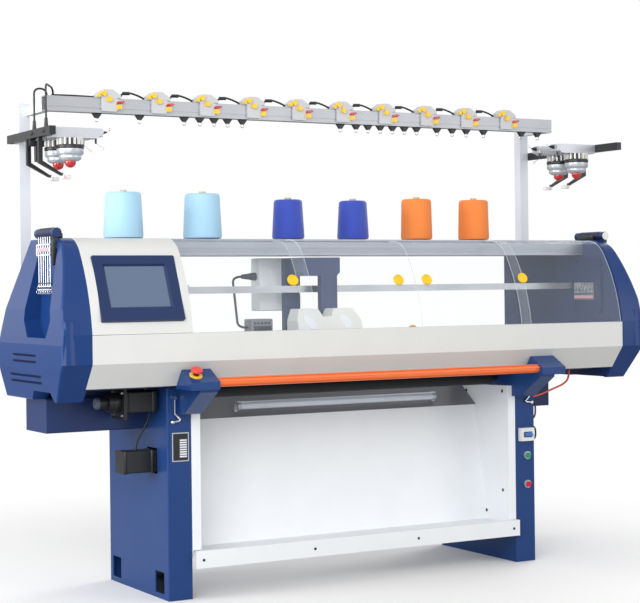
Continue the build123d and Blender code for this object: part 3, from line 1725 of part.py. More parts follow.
save(make_drum(-drum_x, leg_front + left_feeder_places[0]), "feeder_drum_left_front")
save(make_drum(-drum_x, leg_front + left_feeder_places[1]), "feeder_drum_left_rear")
save(make_drum(drum_x, leg_front + right_feeder_places[0]), "feeder_drum_right_front")
save(make_drum(drum_x, leg_front + right_feeder_places[1]), "feeder_drum_right_rear")


# Leads between the tension units, from the left feeders, and between two motors
with BuildPart() as black_leads:
    lead_y = rail_y
    for left, right in zip(unit_places, unit_places[1:]):
        start = (left + roof_half, lead_y, rail_top + unit_roof_height / 6)
        finish = (right - roof_half, lead_y, rail_top + unit_roof_height / 6)
        lead_run = (finish[0] - start[0]) / 6
        stub = (start[0] + lead_run / 2, lead_y, start[2])
        climb = (start[0] + lead_run, lead_y, start[2] + lead_rise)
        crest = (start[0] + 3 * lead_run, lead_y, start[2] + lead_rise)
        fall = (finish[0] - lead_run / 2, lead_y, finish[2])
        with BuildLine() as route:
            FilletPolyline(start, stub, climb, crest, fall, finish, radius=lead_run / 3)
        with BuildSketch(Plane(start, z_dir=route.line % 0)):
            RegularPolygon(lead_radius, lead_sides)
        sweep(path=route.wires()[0])
        with BuildSketch(at_x(start[0] + lead_run * 1.5)):
            with Locations((lead_y, climb[2])):
                RegularPolygon(lead_joint_radius, lead_sides)
        extrude(amount=lead_run)
    motor_lead_x = plate_x + racking_motor_length / 2
    racking_under = racking_motor_z - racking_motor_size / 2
    takedown_top = takedown_motor_foot + motor_size
    takedown_lead_x = -leg_outer - takedown_motor_length / 2
    motor_route = (
        (motor_lead_x, racking_motor_y, racking_under),
        (motor_lead_x, racking_motor_y, racking_under - motor_lead_bend),
        (takedown_lead_x, takedown_y, takedown_top + motor_lead_bend),
        (takedown_lead_x, takedown_y, takedown_top),
    )
    with BuildLine() as motor_lead:
        FilletPolyline(*motor_route, radius=motor_lead_bend / 2)
    with BuildSketch(Plane(motor_route[0], z_dir=(0, 0, -1))):
        RegularPolygon(lead_radius, lead_sides)
    sweep(path=motor_lead.wires()[0])
    for place, loop_rise, landing in zip(left_feeder_places, loop_rises, loop_landings):
        loop_x = -bar_out
        loop_y = leg_front + place
        loop_top = rail_top + loop_rise
        landing_x = -stand_rail_half + landing
        loop_route = (
            (loop_x, loop_y, bar_top),
            (loop_x, loop_y, loop_top),
            (landing_x, rail_y, loop_top),
            (landing_x, rail_y, rail_top),
        )
        with BuildLine() as loop:
            FilletPolyline(*loop_route, radius=loop_bend)
        with BuildSketch(Plane(loop_route[0], z_dir=(0, 0, 1))):
            RegularPolygon(lead_radius, lead_sides)
        sweep(path=loop.wires()[0])
        with BuildSketch(at_z(bar_top)):
            with Locations((loop_x, loop_y)):
                RegularPolygon(2 * lead_radius, lead_sides)
        extrude(amount=loop_plug)
    first_lead = (
        (-stand_rail_half + loop_landings[1] + lead_rise, rail_y, rail_top + lead_radius),
        (unit_places[0] - roof_half, rail_y, rail_top + lead_radius),
    )
    with BuildLine() as rail_lead:
        Line(*first_lead)
    with BuildSketch(Plane(first_lead[0], z_dir=(1, 0, 0))):
        RegularPolygon(lead_radius, lead_sides)
    sweep(path=rail_lead.wires()[0])
    for high, low in zip(leg_lead_tops, leg_lead_feet):
        leg_face = leg_outer
        lead_out = leg_face + leg_lead_out
        leg_lead_y = leg_front + leg_lead_set
        with BuildLine() as leg_lead:
            FilletPolyline(
                (leg_face, leg_lead_y, leg_height - high),
                (lead_out, leg_lead_y, leg_height - high),
                (lead_out, leg_lead_y, leg_height - low),
                (leg_face, leg_lead_y, leg_height - low),
                radius=leg_lead_out - lead_radius / 2,
            )
        with BuildSketch(Plane((leg_face, leg_lead_y, leg_height - high), z_dir=(1, 0, 0))):
            RegularPolygon(lead_radius, lead_sides)
        sweep(path=leg_lead.wires()[0])
save(black_leads, "black_leads")


# Panels at the back corners: one slants under the table's back edge, one hangs from the table
rear_rise = body_top - rear_seam
rear_run = body_back - table_back
rear_length = (rear_rise**2 + rear_run**2) ** 0.5
rear_plane = Plane(
    origin=(0, body_back, rear_seam),
    x_dir=(-1, 0, 0),
    z_dir=(0, rear_rise / rear_length, rear_run / rear_length),
)

with BuildPart() as rear_hood_panels:
    foot_trim = sheet * rear_run / rear_rise
    top_trim = sheet * rear_rise / rear_run
    with BuildSketch(rear_plane):
        for side in (-1, 1):
            slant_x = side * (panel_half - rear_panel_width / 2)
            with Locations((slant_x, (rear_length + foot_trim - top_trim) / 2)):
                Rectangle(rear_panel_width, rear_length - foot_trim - top_trim)
    extrude(amount=-sheet)
    inner_foot = pulley_height + pulley_radius + inner_panel_rise
    inner_top = body_top - table_height
    with BuildSketch(at_y(table_back)):
        for side in (-1, 1):
            with Locations((side * (base_half - inner_panel_width / 2), (inner_foot + inner_top) / 2)):
                Rectangle(inner_panel_width, inner_top - inner_foot)
    extrude(amount=sheet)
save(rear_hood_panels, "rear_hood_panels")


# Red air hose from under the right end to the leg
with BuildPart() as air_hose:
    hose_y = leg_front + hose_radius + leg_corner
    hose_start = (leg_outer + hose_out, hose_y, leg_height)
    hose_corner = (leg_outer + hose_out, hose_y, leg_height - hose_fall)
    hose_turn = (leg_outer + hose_stub, hose_y, leg_height - hose_drop)
    hose_end = (leg_outer, hose_y, leg_height - hose_drop)
    with BuildLine() as hose_route:
        FilletPolyline(hose_start, hose_corner, hose_turn, hose_end, radius=hose_bend)
    with BuildSketch(Plane(hose_start, z_dir=hose_route.line % 0)):
        Circle(hose_radius)
    sweep(path=hose_route.wires()[0])
save(air_hose, "air_hose")
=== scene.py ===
# %% [markdown]
# # A flat knitting machine
# The machine knits with two sloping needle beds that meet like a roof. A carriage runs along them
# under a curved hood. This lesson loads the solid model as a fixed frame, paints every solid, and
# adds the small pieces that give the machine its look.

import json
from math import cos, pi, radians, sin

import bmesh
import bpy
from mathutils import Matrix, Vector


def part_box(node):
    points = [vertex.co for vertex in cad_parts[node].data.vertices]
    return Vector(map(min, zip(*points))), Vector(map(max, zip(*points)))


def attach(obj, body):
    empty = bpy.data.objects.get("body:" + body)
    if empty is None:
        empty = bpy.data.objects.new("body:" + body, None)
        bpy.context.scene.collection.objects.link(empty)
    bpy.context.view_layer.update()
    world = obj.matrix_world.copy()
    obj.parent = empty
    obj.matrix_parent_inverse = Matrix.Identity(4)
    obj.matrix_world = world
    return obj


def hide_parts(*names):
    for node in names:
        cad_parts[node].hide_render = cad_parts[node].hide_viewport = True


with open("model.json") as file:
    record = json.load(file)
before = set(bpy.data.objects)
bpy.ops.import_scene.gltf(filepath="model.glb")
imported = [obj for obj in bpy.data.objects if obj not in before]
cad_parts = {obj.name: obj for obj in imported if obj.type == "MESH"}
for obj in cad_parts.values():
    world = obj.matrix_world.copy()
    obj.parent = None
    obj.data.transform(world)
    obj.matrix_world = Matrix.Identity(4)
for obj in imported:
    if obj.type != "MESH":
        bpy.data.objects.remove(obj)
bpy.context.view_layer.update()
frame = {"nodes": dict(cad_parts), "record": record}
mm = 0.001

# %% [markdown]
# A colour is written as the hex value that a paint chart would give. Blender works in linear
# light, so one function turns the hex value to linear. Another small function adds a shader node
# with its settings and links, so each material below reads as a short list.

# %% Colour and node helpers


def linear(hex_value):
    """An sRGB hex colour such as 2B4A86 as linear red, green, blue and alpha."""
    channels = [int(hex_value[i : i + 2], 16) / 255 for i in (0, 2, 4)]
    return [c / 12.92 if c <= 0.04045 else ((c + 0.055) / 1.055) ** 2.4 for c in channels] + [1.0]


def add_node(tree, kind, settings=None, inputs=None):
    """Adds a node with its settings, and fills its inputs with values or other nodes' sockets."""
    node = tree.nodes.new(kind)
    for key, value in (settings or {}).items():
        setattr(node, key, value)
    for key, value in (inputs or {}).items():
        if isinstance(value, bpy.types.NodeSocket):
            tree.links.new(value, node.inputs[key])
        else:
            node.inputs[key].default_value = value
    return node


def new_material(name):
    """A new material with its shader, and the tree that they sit in."""
    material = bpy.data.materials.new(name)
    material.use_nodes = True
    tree = material.node_tree
    tree.nodes.clear()
    shader = add_node(tree, "ShaderNodeBsdfPrincipled")
    add_node(tree, "ShaderNodeOutputMaterial", inputs={"Surface": shader.outputs[0]})
    return material, tree, shader


print("half grey in linear light", round(linear("808080")[0], 3))

# %% [markdown]
# Nearly every finish here has two scales: a fine grain, which breaks up the highlight, and a slow
# drift over some 14 cm, where the shade and the gloss change a little, as they do on sprayed
# paint. Both are noise on Object coordinates, sized in millimetres, so one function can make them
# all.

# %% Finish helper
drift_mm, shade_share, gloss_drift, grain_depth = 140, 0.93, 0.04, 0.2 * mm


def surface(
    name, colour, roughness, metallic=0.0, grain_mm=3.0, bump=0.05, stretch=(1, 1, 1), **sockets
):
    """A finish with a fine grain in its relief, and a slow drift of shade and gloss."""
    material, tree, shader = new_material(name)
    shader.inputs["Metallic"].default_value = metallic
    for key, value in sockets.items():
        shader.inputs[key.replace("_", " ")].default_value = value
    place = add_node(tree, "ShaderNodeTexCoord").outputs["Object"]
    noises = []
    for size_mm, scale, detail in ((drift_mm, (1, 1, 1), 3.0), (grain_mm, stretch, 2.0)):
        turn = add_node(tree, "ShaderNodeMapping", inputs={"Vector": place, "Scale": scale})
        fed = {"Vector": turn.outputs[0], "Scale": 1 / (size_mm * mm), "Detail": detail}
        noises.append(add_node(tree, "ShaderNodeTexNoise", inputs=fed).outputs[0])
    drift, grain = noises
    full = linear(colour)
    shade = [shade_share * channel for channel in full[:3]] + [1.0]
    fed = {"Factor": drift, "A": full, "B": shade}
    tone = add_node(tree, "ShaderNodeMix", {"data_type": "RGBA"}, fed)
    fed = {"Value": drift, "To Min": roughness - gloss_drift, "To Max": roughness + gloss_drift}
    gloss = add_node(tree, "ShaderNodeMapRange", inputs=fed)
    fed = {"Strength": bump, "Distance": grain_depth, "Height": grain}
    relief = add_node(tree, "ShaderNodeBump", inputs=fed)
    tree.links.new(tone.outputs["Result"], shader.inputs["Base Color"])
    tree.links.new(gloss.outputs[0], shader.inputs["Roughness"])
    tree.links.new(relief.outputs[0], shader.inputs["Normal"])
    return material


print("drift", drift_mm, "mm wide, grain", round(grain_depth / mm, 2), "mm deep")

# %% [markdown]
# The covers and legs are powder-coated sheet steel: a satin paint with a faint orange peel. The
# front panel is the same paint in cream. Grains are drawn about 3 mm wide, which is coarser than
# real orange peel, so that they show at this size.

# %% Painted steel
blue_paint = surface("powder_coat_blue", "20427C", 0.24, Specular_IOR_Level=0.32, Coat_Weight=0.05)
cover_paint = surface(
    "powder_coat_deep_blue", "1B3D78", 0.22, Specular_IOR_Level=0.22, Coat_Weight=0.05
)
dark_blue_paint = surface("powder_coat_navy", "1D3263", 0.36, bump=0.06, Specular_IOR_Level=0.35)
cream_paint = surface("powder_coat_cream", "DEDFDC", 0.40)
pale_paint = surface("powder_coat_pale_grey", "E4E7EE", 0.40)
bin_paint = surface("powder_coat_white", "F4F7FA", 0.45, bump=0.04)
unit_paint = surface("powder_coat_light_grey", "CFD1D6", 0.40)
grey_paint = surface("powder_coat_grey", "85868C", 0.45)
orange_paint = surface("powder_coat_orange", "F67A3A", 0.30, bump=0.04)
black_paint = surface("enamel_black", "17181B", 0.40, grain_mm=2.0, bump=0.06)
casting_paint = surface("painted_casting", "59616F", 0.60, grain_mm=6.0, bump=0.25)
print("finishes so far", len(bpy.data.materials))

# %% [markdown]
# Bare metal is either ground steel, with a grain along the machine, or drawn aluminium. The grain
# is a noise that is stretched along X, which spreads the highlight the way grinding marks do.
# Chrome and silver lacquer are smooth, so their grain is not stretched.

# %% Bare metals
drawn = {"grain_mm": 1.5, "stretch": (0.03, 1, 1)}
ground_steel = surface("ground_steel", "A9ABB0", 0.34, 1.0, bump=0.12, **drawn)
bed_steel = surface("hardened_bed_steel", "8F9299", 0.38, 1.0, bump=0.15, **drawn)
anodised = surface("anodised_aluminium", "9FA4AE", 0.42, 0.75, bump=0.10, **drawn)
rail_metal = surface("drawn_aluminium", "AEB0B5", 0.40, 0.5, bump=0.10, **drawn)
chrome = surface("chromed_steel", "DADCE0", 0.12, 1.0, grain_mm=4.0, bump=0.02)
silver_paint = surface("silver_lacquer", "C3C6CC", 0.36, 0.45, grain_mm=1.0, bump=0.06)
print("finishes so far", len(bpy.data.materials))

# %% [markdown]
# Moulded plastics differ in gloss. Knobs and buttons are glossy, housings are satin, and the drive
# belt and rollers are rubber, which is rough and nearly black. Glazed ceramic and the lamp's opal
# tube have a clear coat over a quiet surface.

# %% Plastics, rubber and glaze
satin = {"grain_mm": 1.2}
glossy = {"grain_mm": 2.0, "bump": 0.03}
glazed = {"grain_mm": 4.0, "bump": 0.02}
bezel_plastic = surface(
    "moulded_abs_blue", "162C58", 0.40, bump=0.10, Specular_IOR_Level=0.35, **satin
)
white_plastic = surface("moulded_abs_white", "ECECE8", 0.40, bump=0.06, **satin)
black_plastic = surface("moulded_nylon_black", "1A1B1E", 0.42, grain_mm=1.0, bump=0.10)
yellow_plastic = surface("moulded_abs_yellow", "FFCF1C", 0.28, **glossy)
amber_plastic = surface("moulded_abs_amber", "D9922E", 0.34, **glossy)
red_plastic = surface("moulded_abs_red", "E8403A", 0.30, **glossy)
crimson_plastic = surface("moulded_abs_crimson", "C8143C", 0.30, **glossy)
green_plastic = surface("moulded_abs_green", "15906A", 0.30, **glossy)
toggle_plastic = surface("moulded_abs_light_blue", "3E78C8", 0.32, **glossy)
rubber = surface("moulded_rubber", "202124", 0.75, grain_mm=1.5, bump=0.20)
pink_ceramic = surface("glazed_ceramic_pink", "EDB9C6", 0.18, Coat_Weight=0.5, **glazed)
lamp_tube = surface("opal_lamp_tube", "E6EDF8", 0.22, grain_mm=5.0, bump=0.02, Coat_Weight=0.4)
screen_glass = surface(
    "switched_off_display", "566886", 0.16, grain_mm=6.0, bump=0.01, Coat_Weight=0.6
)
print("finishes so far", len(bpy.data.materials))

# %% [markdown]
# The windows are clear acrylic about 3 mm thick. Real transmission would leave the inside dark,
# because light reaches it only through the sheet. A low alpha lets light and sight through, and
# the gloss stays. A sawn edge scatters light, so it is whiter and much less clear.

# %% Clear acrylic
acrylic, _, acrylic_shader = new_material("clear_acrylic")
clear = {"Base Color": linear("E4F0FA"), "Roughness": 0.06, "IOR": 1.49, "Alpha": 0.06}
for key, value in clear.items():
    acrylic_shader.inputs[key].default_value = value
acrylic_edge = surface("sawn_acrylic_edge", "F2F7FC", 0.30, grain_mm=2.0, bump=0.04, Alpha=0.75)
print("acrylic alpha", clear["Alpha"], "IOR", clear["IOR"])

# %% [markdown]
# Every solid of the frame gets its own finish here. The ones that a later cell replaces by finer
# pieces are listed too, so nothing shows without a finish.

# %% Paint the solids
drum_places = ("left_front", "left_rear", "right_front", "right_rear")
drum_nodes = [f"feeder_drum_{place}" for place in drum_places]
finishes = {
    blue_paint: ("leg_left", "leg_right", "rod_brackets"),
    cover_paint: ("end_cover_left", "end_cover_right"),
    dark_blue_paint: ("electrical_box", "side_plates", "rear_hood_panels", "carriage_bridge"),
    cream_paint: ("front_panel", "rear_panel", "control_housing"),
    pale_paint: ("posts",),
    bin_paint: ("fabric_bin",),
    grey_paint: ("bin_upper_sheet",),
    orange_paint: ("start_rod",),
    black_paint: ("servo_motors", "feeder_bars"),
    casting_paint: ("bed_base",),
    ground_steel: (
        "yarn_entry_guides",
        "guide_rails",
        "side_tensioners",
        "drive_pulley",
        "idler_pulley",
        "press_roller",
        "yarn_carrier",
    ),
    bed_steel: ("needle_bed_front", "needle_bed_rear"),
    anodised: ("yarn_table",),
    rail_metal: ("top_rail",),
    chrome: ("racking_screw", "clamp_lever_left", "clamp_lever_right"),
    silver_paint: ("feeder_bodies", "pushbutton_bezels"),
    bezel_plastic: ("control_bezel",),
    screen_glass: ("touch_screen",),
    white_plastic: ("carriage_front_cover", "breaker", "yarn_cones", "carriage_wiring_box"),
    unit_paint: ("tension_units",),
    black_plastic: ("yarn_guides", *drum_nodes),
    rubber: ("drive_belt", "takedown_roller", "black_leads"),
    yellow_plastic: ("tension_knobs",),
    red_plastic: ("estop_button", "air_hose"),
    crimson_plastic: ("stop_button",),
    green_plastic: ("start_button",),
    toggle_plastic: ("breaker_toggle",),
    lamp_tube: ("work_lamp",),
    acrylic: ("fixed_windows", "window_left", "window_right"),
}
painted = set()
for material, names in finishes.items():
    for name in names:
        node = frame["nodes"][name]
        node.data.materials.clear()
        node.data.materials.append(material)
        painted.add(name)
missing = set(frame["nodes"]) - painted
print("painted", len(painted), "of", len(frame["nodes"]), "missing", missing)

# %% [markdown]
# A new piece starts as a bmesh, which operators then shape. One function turns a finished bmesh
# into an object that rides on a body of the machine, with its finish. Its place stays in the mesh,
# so the object itself sits at the origin.

# %% Piece helpers
weld_gap, sharp_angle = 0.01 * mm, radians(32)


def bmeshes(count):
    """As many empty bmeshes as asked for."""
    return [bmesh.new() for _ in range(count)]


def join(made, body, stands_for):
    """Links an object and lets it ride on a body, in place of a solid where one is named."""
    bpy.context.scene.collection.objects.link(made)
    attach(made, body)
    if stands_for:
        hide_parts(stands_for)


def piece(bm, name, material, body="frame", stands_for=None):
    """Makes the object for a finished bmesh, and lets it ride on a body."""
    bmesh.ops.remove_doubles(bm, verts=bm.verts, dist=weld_gap)
    bmesh.ops.recalc_face_normals(bm, faces=bm.faces)
    mesh = bpy.data.meshes.new(name)
    bm.to_mesh(mesh)
    bm.free()
    mesh.materials.append(material)
    mesh.shade_smooth()
    mesh.set_sharp_from_angle(angle=sharp_angle)
    made = bpy.data.objects.new(name, mesh)
    join(made, body, stands_for)
    return made


# %% [markdown]
# Most pieces are turned on a lathe or cut from a block. A turned one is a half outline that is
# spun about an upright axis and then tipped. Blender counts in metres and a workshop drawing in
# millimetres, so these shapes take millimetres and turn them to metres.

# %% Lathe and block
upright = Vector((0, 0, 1))


def in_mm(*values):
    """A point or a list of lengths, from mm to m."""
    return [value * mm for value in values]


def box_mm(node):
    """The low and the high corner of a solid's box, in mm."""
    return [[value / mm for value in corner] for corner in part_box(node)]


def edges_of(verts):
    """Every edge that meets one of the verts."""
    return list({edge for vert in verts for edge in vert.link_edges})


def round_edges(bm, edges, offset, segments=2):
    """Rounds edges by an offset in mm."""
    bmesh.ops.bevel(
        bm,
        geom=edges,
        offset=offset * mm,
        affect="EDGES",
        segments=segments,
        profile=0.5,
        material=-1,
    )


def lathe(bm, outline, place, heading=None, steps=32):
    """Spins an outline of (radius, height) points about place, and tips it along heading."""
    start, axis = len(bm.verts), Vector(in_mm(*place))
    verts = [bm.verts.new(axis + Vector(in_mm(radius, 0, height))) for radius, height in outline]
    edges = [bm.edges.new(pair) for pair in zip(verts, verts[1:])]
    bmesh.ops.spin(
        bm,
        geom=verts + edges,
        cent=axis,
        axis=upright,
        angle=2 * pi,
        steps=steps,
        use_merge=True,
    )
    if heading is not None:
        bm.verts.ensure_lookup_table()
        turn = upright.rotation_difference(Vector(heading)).to_matrix()
        bmesh.ops.rotate(bm, verts=bm.verts[start:], cent=axis, matrix=turn)


def block(bm, corner, opposite, bevel=0, segments=2):
    """A box between two opposite corners, with its edges rounded by bevel."""
    pairs = list(zip(in_mm(*corner), in_mm(*opposite)))
    low, high = (Vector([pick(pair) for pair in pairs]) for pick in (min, max))
    place = Matrix.Translation((low + high) / 2) @ Matrix.Diagonal((high - low).to_4d())
    made = bmesh.ops.create_cube(bm, size=1, matrix=place)
    if bevel:
        round_edges(bm, edges_of(made["verts"]), bevel, segments)


print("front panel in mm", [[round(value) for value in corner] for corner in box_mm("front_panel")])

# %% [markdown]
# The hood is a bent sheet: a long gentle curve from the front panel, then a tighter curve into the
# flat top. Both arcs face the same way where they meet, so there is no kink. This cell and the
# next two work in metres.

# %% Hood curve
hood_foot_heading, hood_bend_heading = radians(83), radians(55)
large_radius, small_radius, seam_gap = 679 * mm, 130 * mm, 1.8 * mm


def lean(heading):
    """The way that the hood faces: up at a heading of 0, to the front at a quarter turn."""
    return Vector((0, -sin(heading), cos(heading)))


panel_low, panel_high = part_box("front_panel")
seam = Vector((0, panel_low[1], panel_high[2] + seam_gap))
large_centre = seam - lean(hood_foot_heading) * large_radius
small_centre = large_centre + lean(hood_bend_heading) * (large_radius - small_radius)
hood_bends = (
    (large_centre, hood_bend_heading - hood_foot_heading),
    (small_centre, -hood_bend_heading),
)
print("hood top", round(small_centre.z + small_radius, 4))

# %% [markdown]
# Each window follows that curve a little further in. One vertex is spun about the two centres,
# which gives the curve's exact shape, and the line is then pushed along the machine and thickened.
# Its sawn ends face along X, and get the edge finish.

# %% Windows
sheet_thickness, curve_steps, edge_limit = 3 * mm, 14, 0.9


def verts_in(geom):
    """The verts among what an operator gives back."""
    return [item for item in geom if isinstance(item, bmesh.types.BMVert)]


def hood_window(name, left, right, inset, top_y, body="frame", stands_for=None):
    """A curved clear sheet from left to right, inset from the hood's outer face."""
    bm = bmesh.new()
    foot = large_centre + lean(hood_foot_heading) * (large_radius - inset)
    last = [bm.verts.new(foot + Vector((left, 0, 0)))]
    for centre, angle in hood_bends:
        swing = bmesh.ops.spin(
            bm, geom=last, cent=centre, axis=(1, 0, 0), angle=angle, steps=curve_steps
        )
        last = verts_in(swing["geom_last"])
    run = bmesh.ops.extrude_vert_indiv(bm, verts=last)
    for vert in run["verts"]:
        vert.co.y = top_y
    push = bmesh.ops.extrude_edge_only(bm, edges=bm.edges[:])
    bmesh.ops.translate(bm, verts=verts_in(push["geom"]), vec=(right - left, 0, 0))
    bmesh.ops.recalc_face_normals(bm, faces=bm.faces)
    if sum(face.normal.z for face in bm.faces) < 0:
        bmesh.ops.reverse_faces(bm, faces=bm.faces)
    bmesh.ops.solidify(bm, geom=bm.faces[:], thickness=sheet_thickness)
    for face in bm.faces:
        face.normal_update()
        face.material_index = int(abs(face.normal.x) > edge_limit)
    made = piece(bm, name, acrylic, body, stands_for)
    made.data.materials.append(acrylic_edge)


fixed_low, fixed_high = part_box("fixed_windows")
left_low, left_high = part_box("window_left")
right_low, right_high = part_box("window_right")
table_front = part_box("yarn_table")[0][1]
overlap, fixed_inset, slide_inset = 54 * mm, 2 * mm, 8 * mm
left_end, right_end = left_low[0] + overlap, right_high[0] - overlap
hood_window(
    "window_fixed_left",
    fixed_low[0],
    left_end,
    fixed_inset,
    table_front,
    stands_for="fixed_windows",
)
hood_window("window_fixed_right", right_end, fixed_high[0], fixed_inset, table_front)
for side, low, high in (("left", left_low, left_high), ("right", right_low, right_high)):
    node = f"window_{side}"
    hood_window(f"window_sheet_{side}", low[0], high[0], slide_inset, high[1], node, node)
print("windows from", round(fixed_low[0], 3), "to", round(fixed_high[0], 3), "m")

# %% [markdown]
# Each window has a round yellow knob with a dished face. It is turned on a lathe in real life, so
# here a half outline is spun, and then tipped to stand square on the curve.

# %% Window knobs
knob_way = lean(radians(66.3))
knob_outline = [(0, 0), (10, 0), (10, 8), (21, 8), (23, 10), (23, 16)]
knob_outline += [(21.5, 18), (18, 18), (16, 14), (0, 13)]
knob_rows = (
    ("knob_fixed_left", left_end - 85 * mm, fixed_inset, "frame"),
    ("knob_fixed_right", right_end + 36 * mm, fixed_inset, "frame"),
    ("knob_left", left_high[0] - 88 * mm, slide_inset, "window_left"),
    ("knob_right", right_low[0] + 49 * mm, slide_inset, "window_right"),
)
for name, x, inset, body in knob_rows:
    knob_bm = bmesh.new()
    middle_radius = large_radius - inset - sheet_thickness / 2
    place = large_centre + knob_way * middle_radius + Vector((x, 0, 0))
    lathe(knob_bm, knob_outline, place / mm, knob_way)
    piece(knob_bm, name, yellow_plastic, body)
print("window knobs", len(knob_rows))

# %% [markdown]
# Yarn is wound on paper cones in crossing layers. The finish has two sets of fine slanting threads
# that cross, drawn about 3 mm apart so that they show from a step away. Blender's wave repeats
# each twentieth of a full turn, which gives its scale.

# %% Yarn finish
thread_pitch, thread_slant, thread_depth = 3 * mm, 0.35, 0.6 * mm
thread_scale = 2 * pi / 20 / thread_pitch


def yarn_finish(name, colour, shade, sheen):
    """Wound yarn: two crossing sets of slanting threads in relief. The hollows between them take
    the second colour, which is painted shade.
    """
    material, tree, shader = new_material(name)
    place = add_node(tree, "ShaderNodeTexCoord").outputs["Object"]
    heights = []
    for slant in (thread_slant, -thread_slant):
        fed = {"Vector": place, "Rotation": (0, slant, 0)}
        turn = add_node(tree, "ShaderNodeMapping", inputs=fed).outputs[0]
        fed = {"Vector": turn, "Scale": thread_scale, "Distortion": 1.2, "Detail": 1.0}
        wave = add_node(tree, "ShaderNodeTexWave", {"bands_direction": "Z"}, fed)
        heights.append(wave.outputs["Fac"])
    fed = {0: heights[0], 1: heights[1]}
    both = add_node(tree, "ShaderNodeMath", {"operation": "MAXIMUM"}, fed).outputs[0]
    fed = {"Factor": both, "A": linear(shade), "B": linear(colour)}
    threads_and_shade = add_node(tree, "ShaderNodeMix", {"data_type": "RGBA"}, fed)
    fed = {"Strength": 0.35, "Distance": thread_depth, "Height": both}
    relief = add_node(tree, "ShaderNodeBump", inputs=fed)
    tree.links.new(threads_and_shade.outputs["Result"], shader.inputs["Base Color"])
    tree.links.new(relief.outputs[0], shader.inputs["Normal"])
    shader.inputs["Roughness"].default_value = 0.75
    shader.inputs["Sheen Weight"].default_value = sheen
    return material


# Each yarn's second colour is painted shade between the threads. The violet yarn's is also more
# violet.
pale_yarn = yarn_finish("wound_yarn_pale_blue", "B2D9F0", "99CAE6", 0.2)
violet_yarn = yarn_finish("wound_yarn_violet", "3152BC", "2A2C98", 0.4)
orange_yarn = yarn_finish("wound_yarn_orange", "FA9044", "F07A2C", 0.2)
paper = surface("rolled_paper", "C9B79A", 0.8, grain_mm=2.0, bump=0.15)
print("finishes so far", len(bpy.data.materials))

# %% [markdown]
# A package of yarn is a lathe form with soft edges around a paper core. The six stand in a row on
# the table, two of each colour. A row below gives the colour, the places as shares of the table's
# half length, and the widths at the foot and the top and the height in mm.

# %% Yarn packages
table_low, table_high = box_mm("yarn_table")
half_length, cone_y, table_top = 1242, table_low[1] + 117, table_high[2]
core_in, core_out, core_proud = 10, 14, 8
cone_rows = (
    ("pale", pale_yarn, (-0.770, -0.493), 157, 142, 186, "yarn_cones"),
    ("violet", violet_yarn, (-0.176, 0.076), 135, 119, 168, None),
    ("orange", orange_yarn, (0.335, 0.577), 137, 130, 180, None),
)
core_bm = bmesh.new()
for name, material, shares, base, top, height, stands_for in cone_rows:
    yarn_bm = bmesh.new()
    low, high, core_top = base / 2, top / 2, height + core_proud
    outline = [(core_out, 5), (low - 8, 4), (low - 2, 7), (low, 14), (high, height - 14)]
    outline += [(high - 2, height - 6), (high - 8, height - 1), (core_out, height)]
    core = [(core_in, 0), (core_out, 0), (core_out, core_top), (core_in, core_top), (core_in, 0)]
    for share in shares:
        place = (half_length * share, cone_y, table_top)
        lathe(yarn_bm, outline, place, steps=48)
        lathe(core_bm, core, place)
    piece(yarn_bm, f"yarn_{name}", material, stands_for=stands_for)
piece(core_bm, "cone_cores", paper)
print("yarn packages", sum(len(row[2]) for row in cone_rows))

# %% [markdown]
# Small pieces share a few shapes: a round bar, a wire ring, and a flat slab with a drawn outline.
# Each starts from a bmesh shape or a few vertices, and an operator gives it depth. Their sizes are
# in millimetres too.

# %% Shapes for small pieces
wire_sides, ring_steps = 8, 20


def rod(bm, start, end, radius, tip=None, sides=14):
    """A round bar between two points, or a taper where the tip has a radius of its own."""
    start, end = Vector(in_mm(*start)), Vector(in_mm(*end))
    way = end - start
    turn = way.to_track_quat("Z", "Y").to_matrix().to_4x4()
    bmesh.ops.create_cone(
        bm,
        cap_ends=True,
        segments=sides,
        radius1=radius * mm,
        radius2=(radius if tip is None else tip) * mm,
        depth=way.length,
        matrix=Matrix.Translation((start + end) / 2) @ turn,
    )


def eyelet(bm, centre, heading, radius, wire):
    """A wire ring: a small circle that is spun about the ring's axis."""
    centre, heading = Vector(in_mm(*centre)), Vector(heading).normalized()
    side = heading.orthogonal().normalized()
    turn = Matrix((side, heading, side.cross(heading))).transposed().to_4x4()
    place = Matrix.Translation(centre + side * (radius * mm)) @ turn
    made = bmesh.ops.create_circle(
        bm, cap_ends=False, segments=wire_sides, radius=wire * mm, matrix=place
    )
    bmesh.ops.spin(
        bm,
        geom=made["verts"] + edges_of(made["verts"]),
        cent=centre,
        axis=heading,
        angle=2 * pi,
        steps=ring_steps,
        use_merge=True,
    )


def slab(bm, corners, push):
    """A flat piece: a face on the corners that is extruded by push."""
    face = bm.faces.new([bm.verts.new(in_mm(*corner)) for corner in corners])
    made = bmesh.ops.extrude_face_region(bm, geom=[face])
    bmesh.ops.translate(bm, verts=verts_in(made["geom"]), vec=in_mm(*push))


print("a wire ring has", wire_sides * ring_steps, "faces")

# %% [markdown]
# Leads and the air hose are flexible, so each is one smooth NURBS line with a round section. The
# route's points are the solid model's own, and the line passes close to them without sharp
# corners. Each lead gives back the length that its line has.

# %% Lead helper
lead_rubber = surface("extruded_pvc_black", "1C1D20", 0.48, grain_mm=1.0, bump=0.08)
hose_plastic = surface("extruded_polyurethane_red", "E8553F", 0.32, **glossy)
lead_width = 8.0


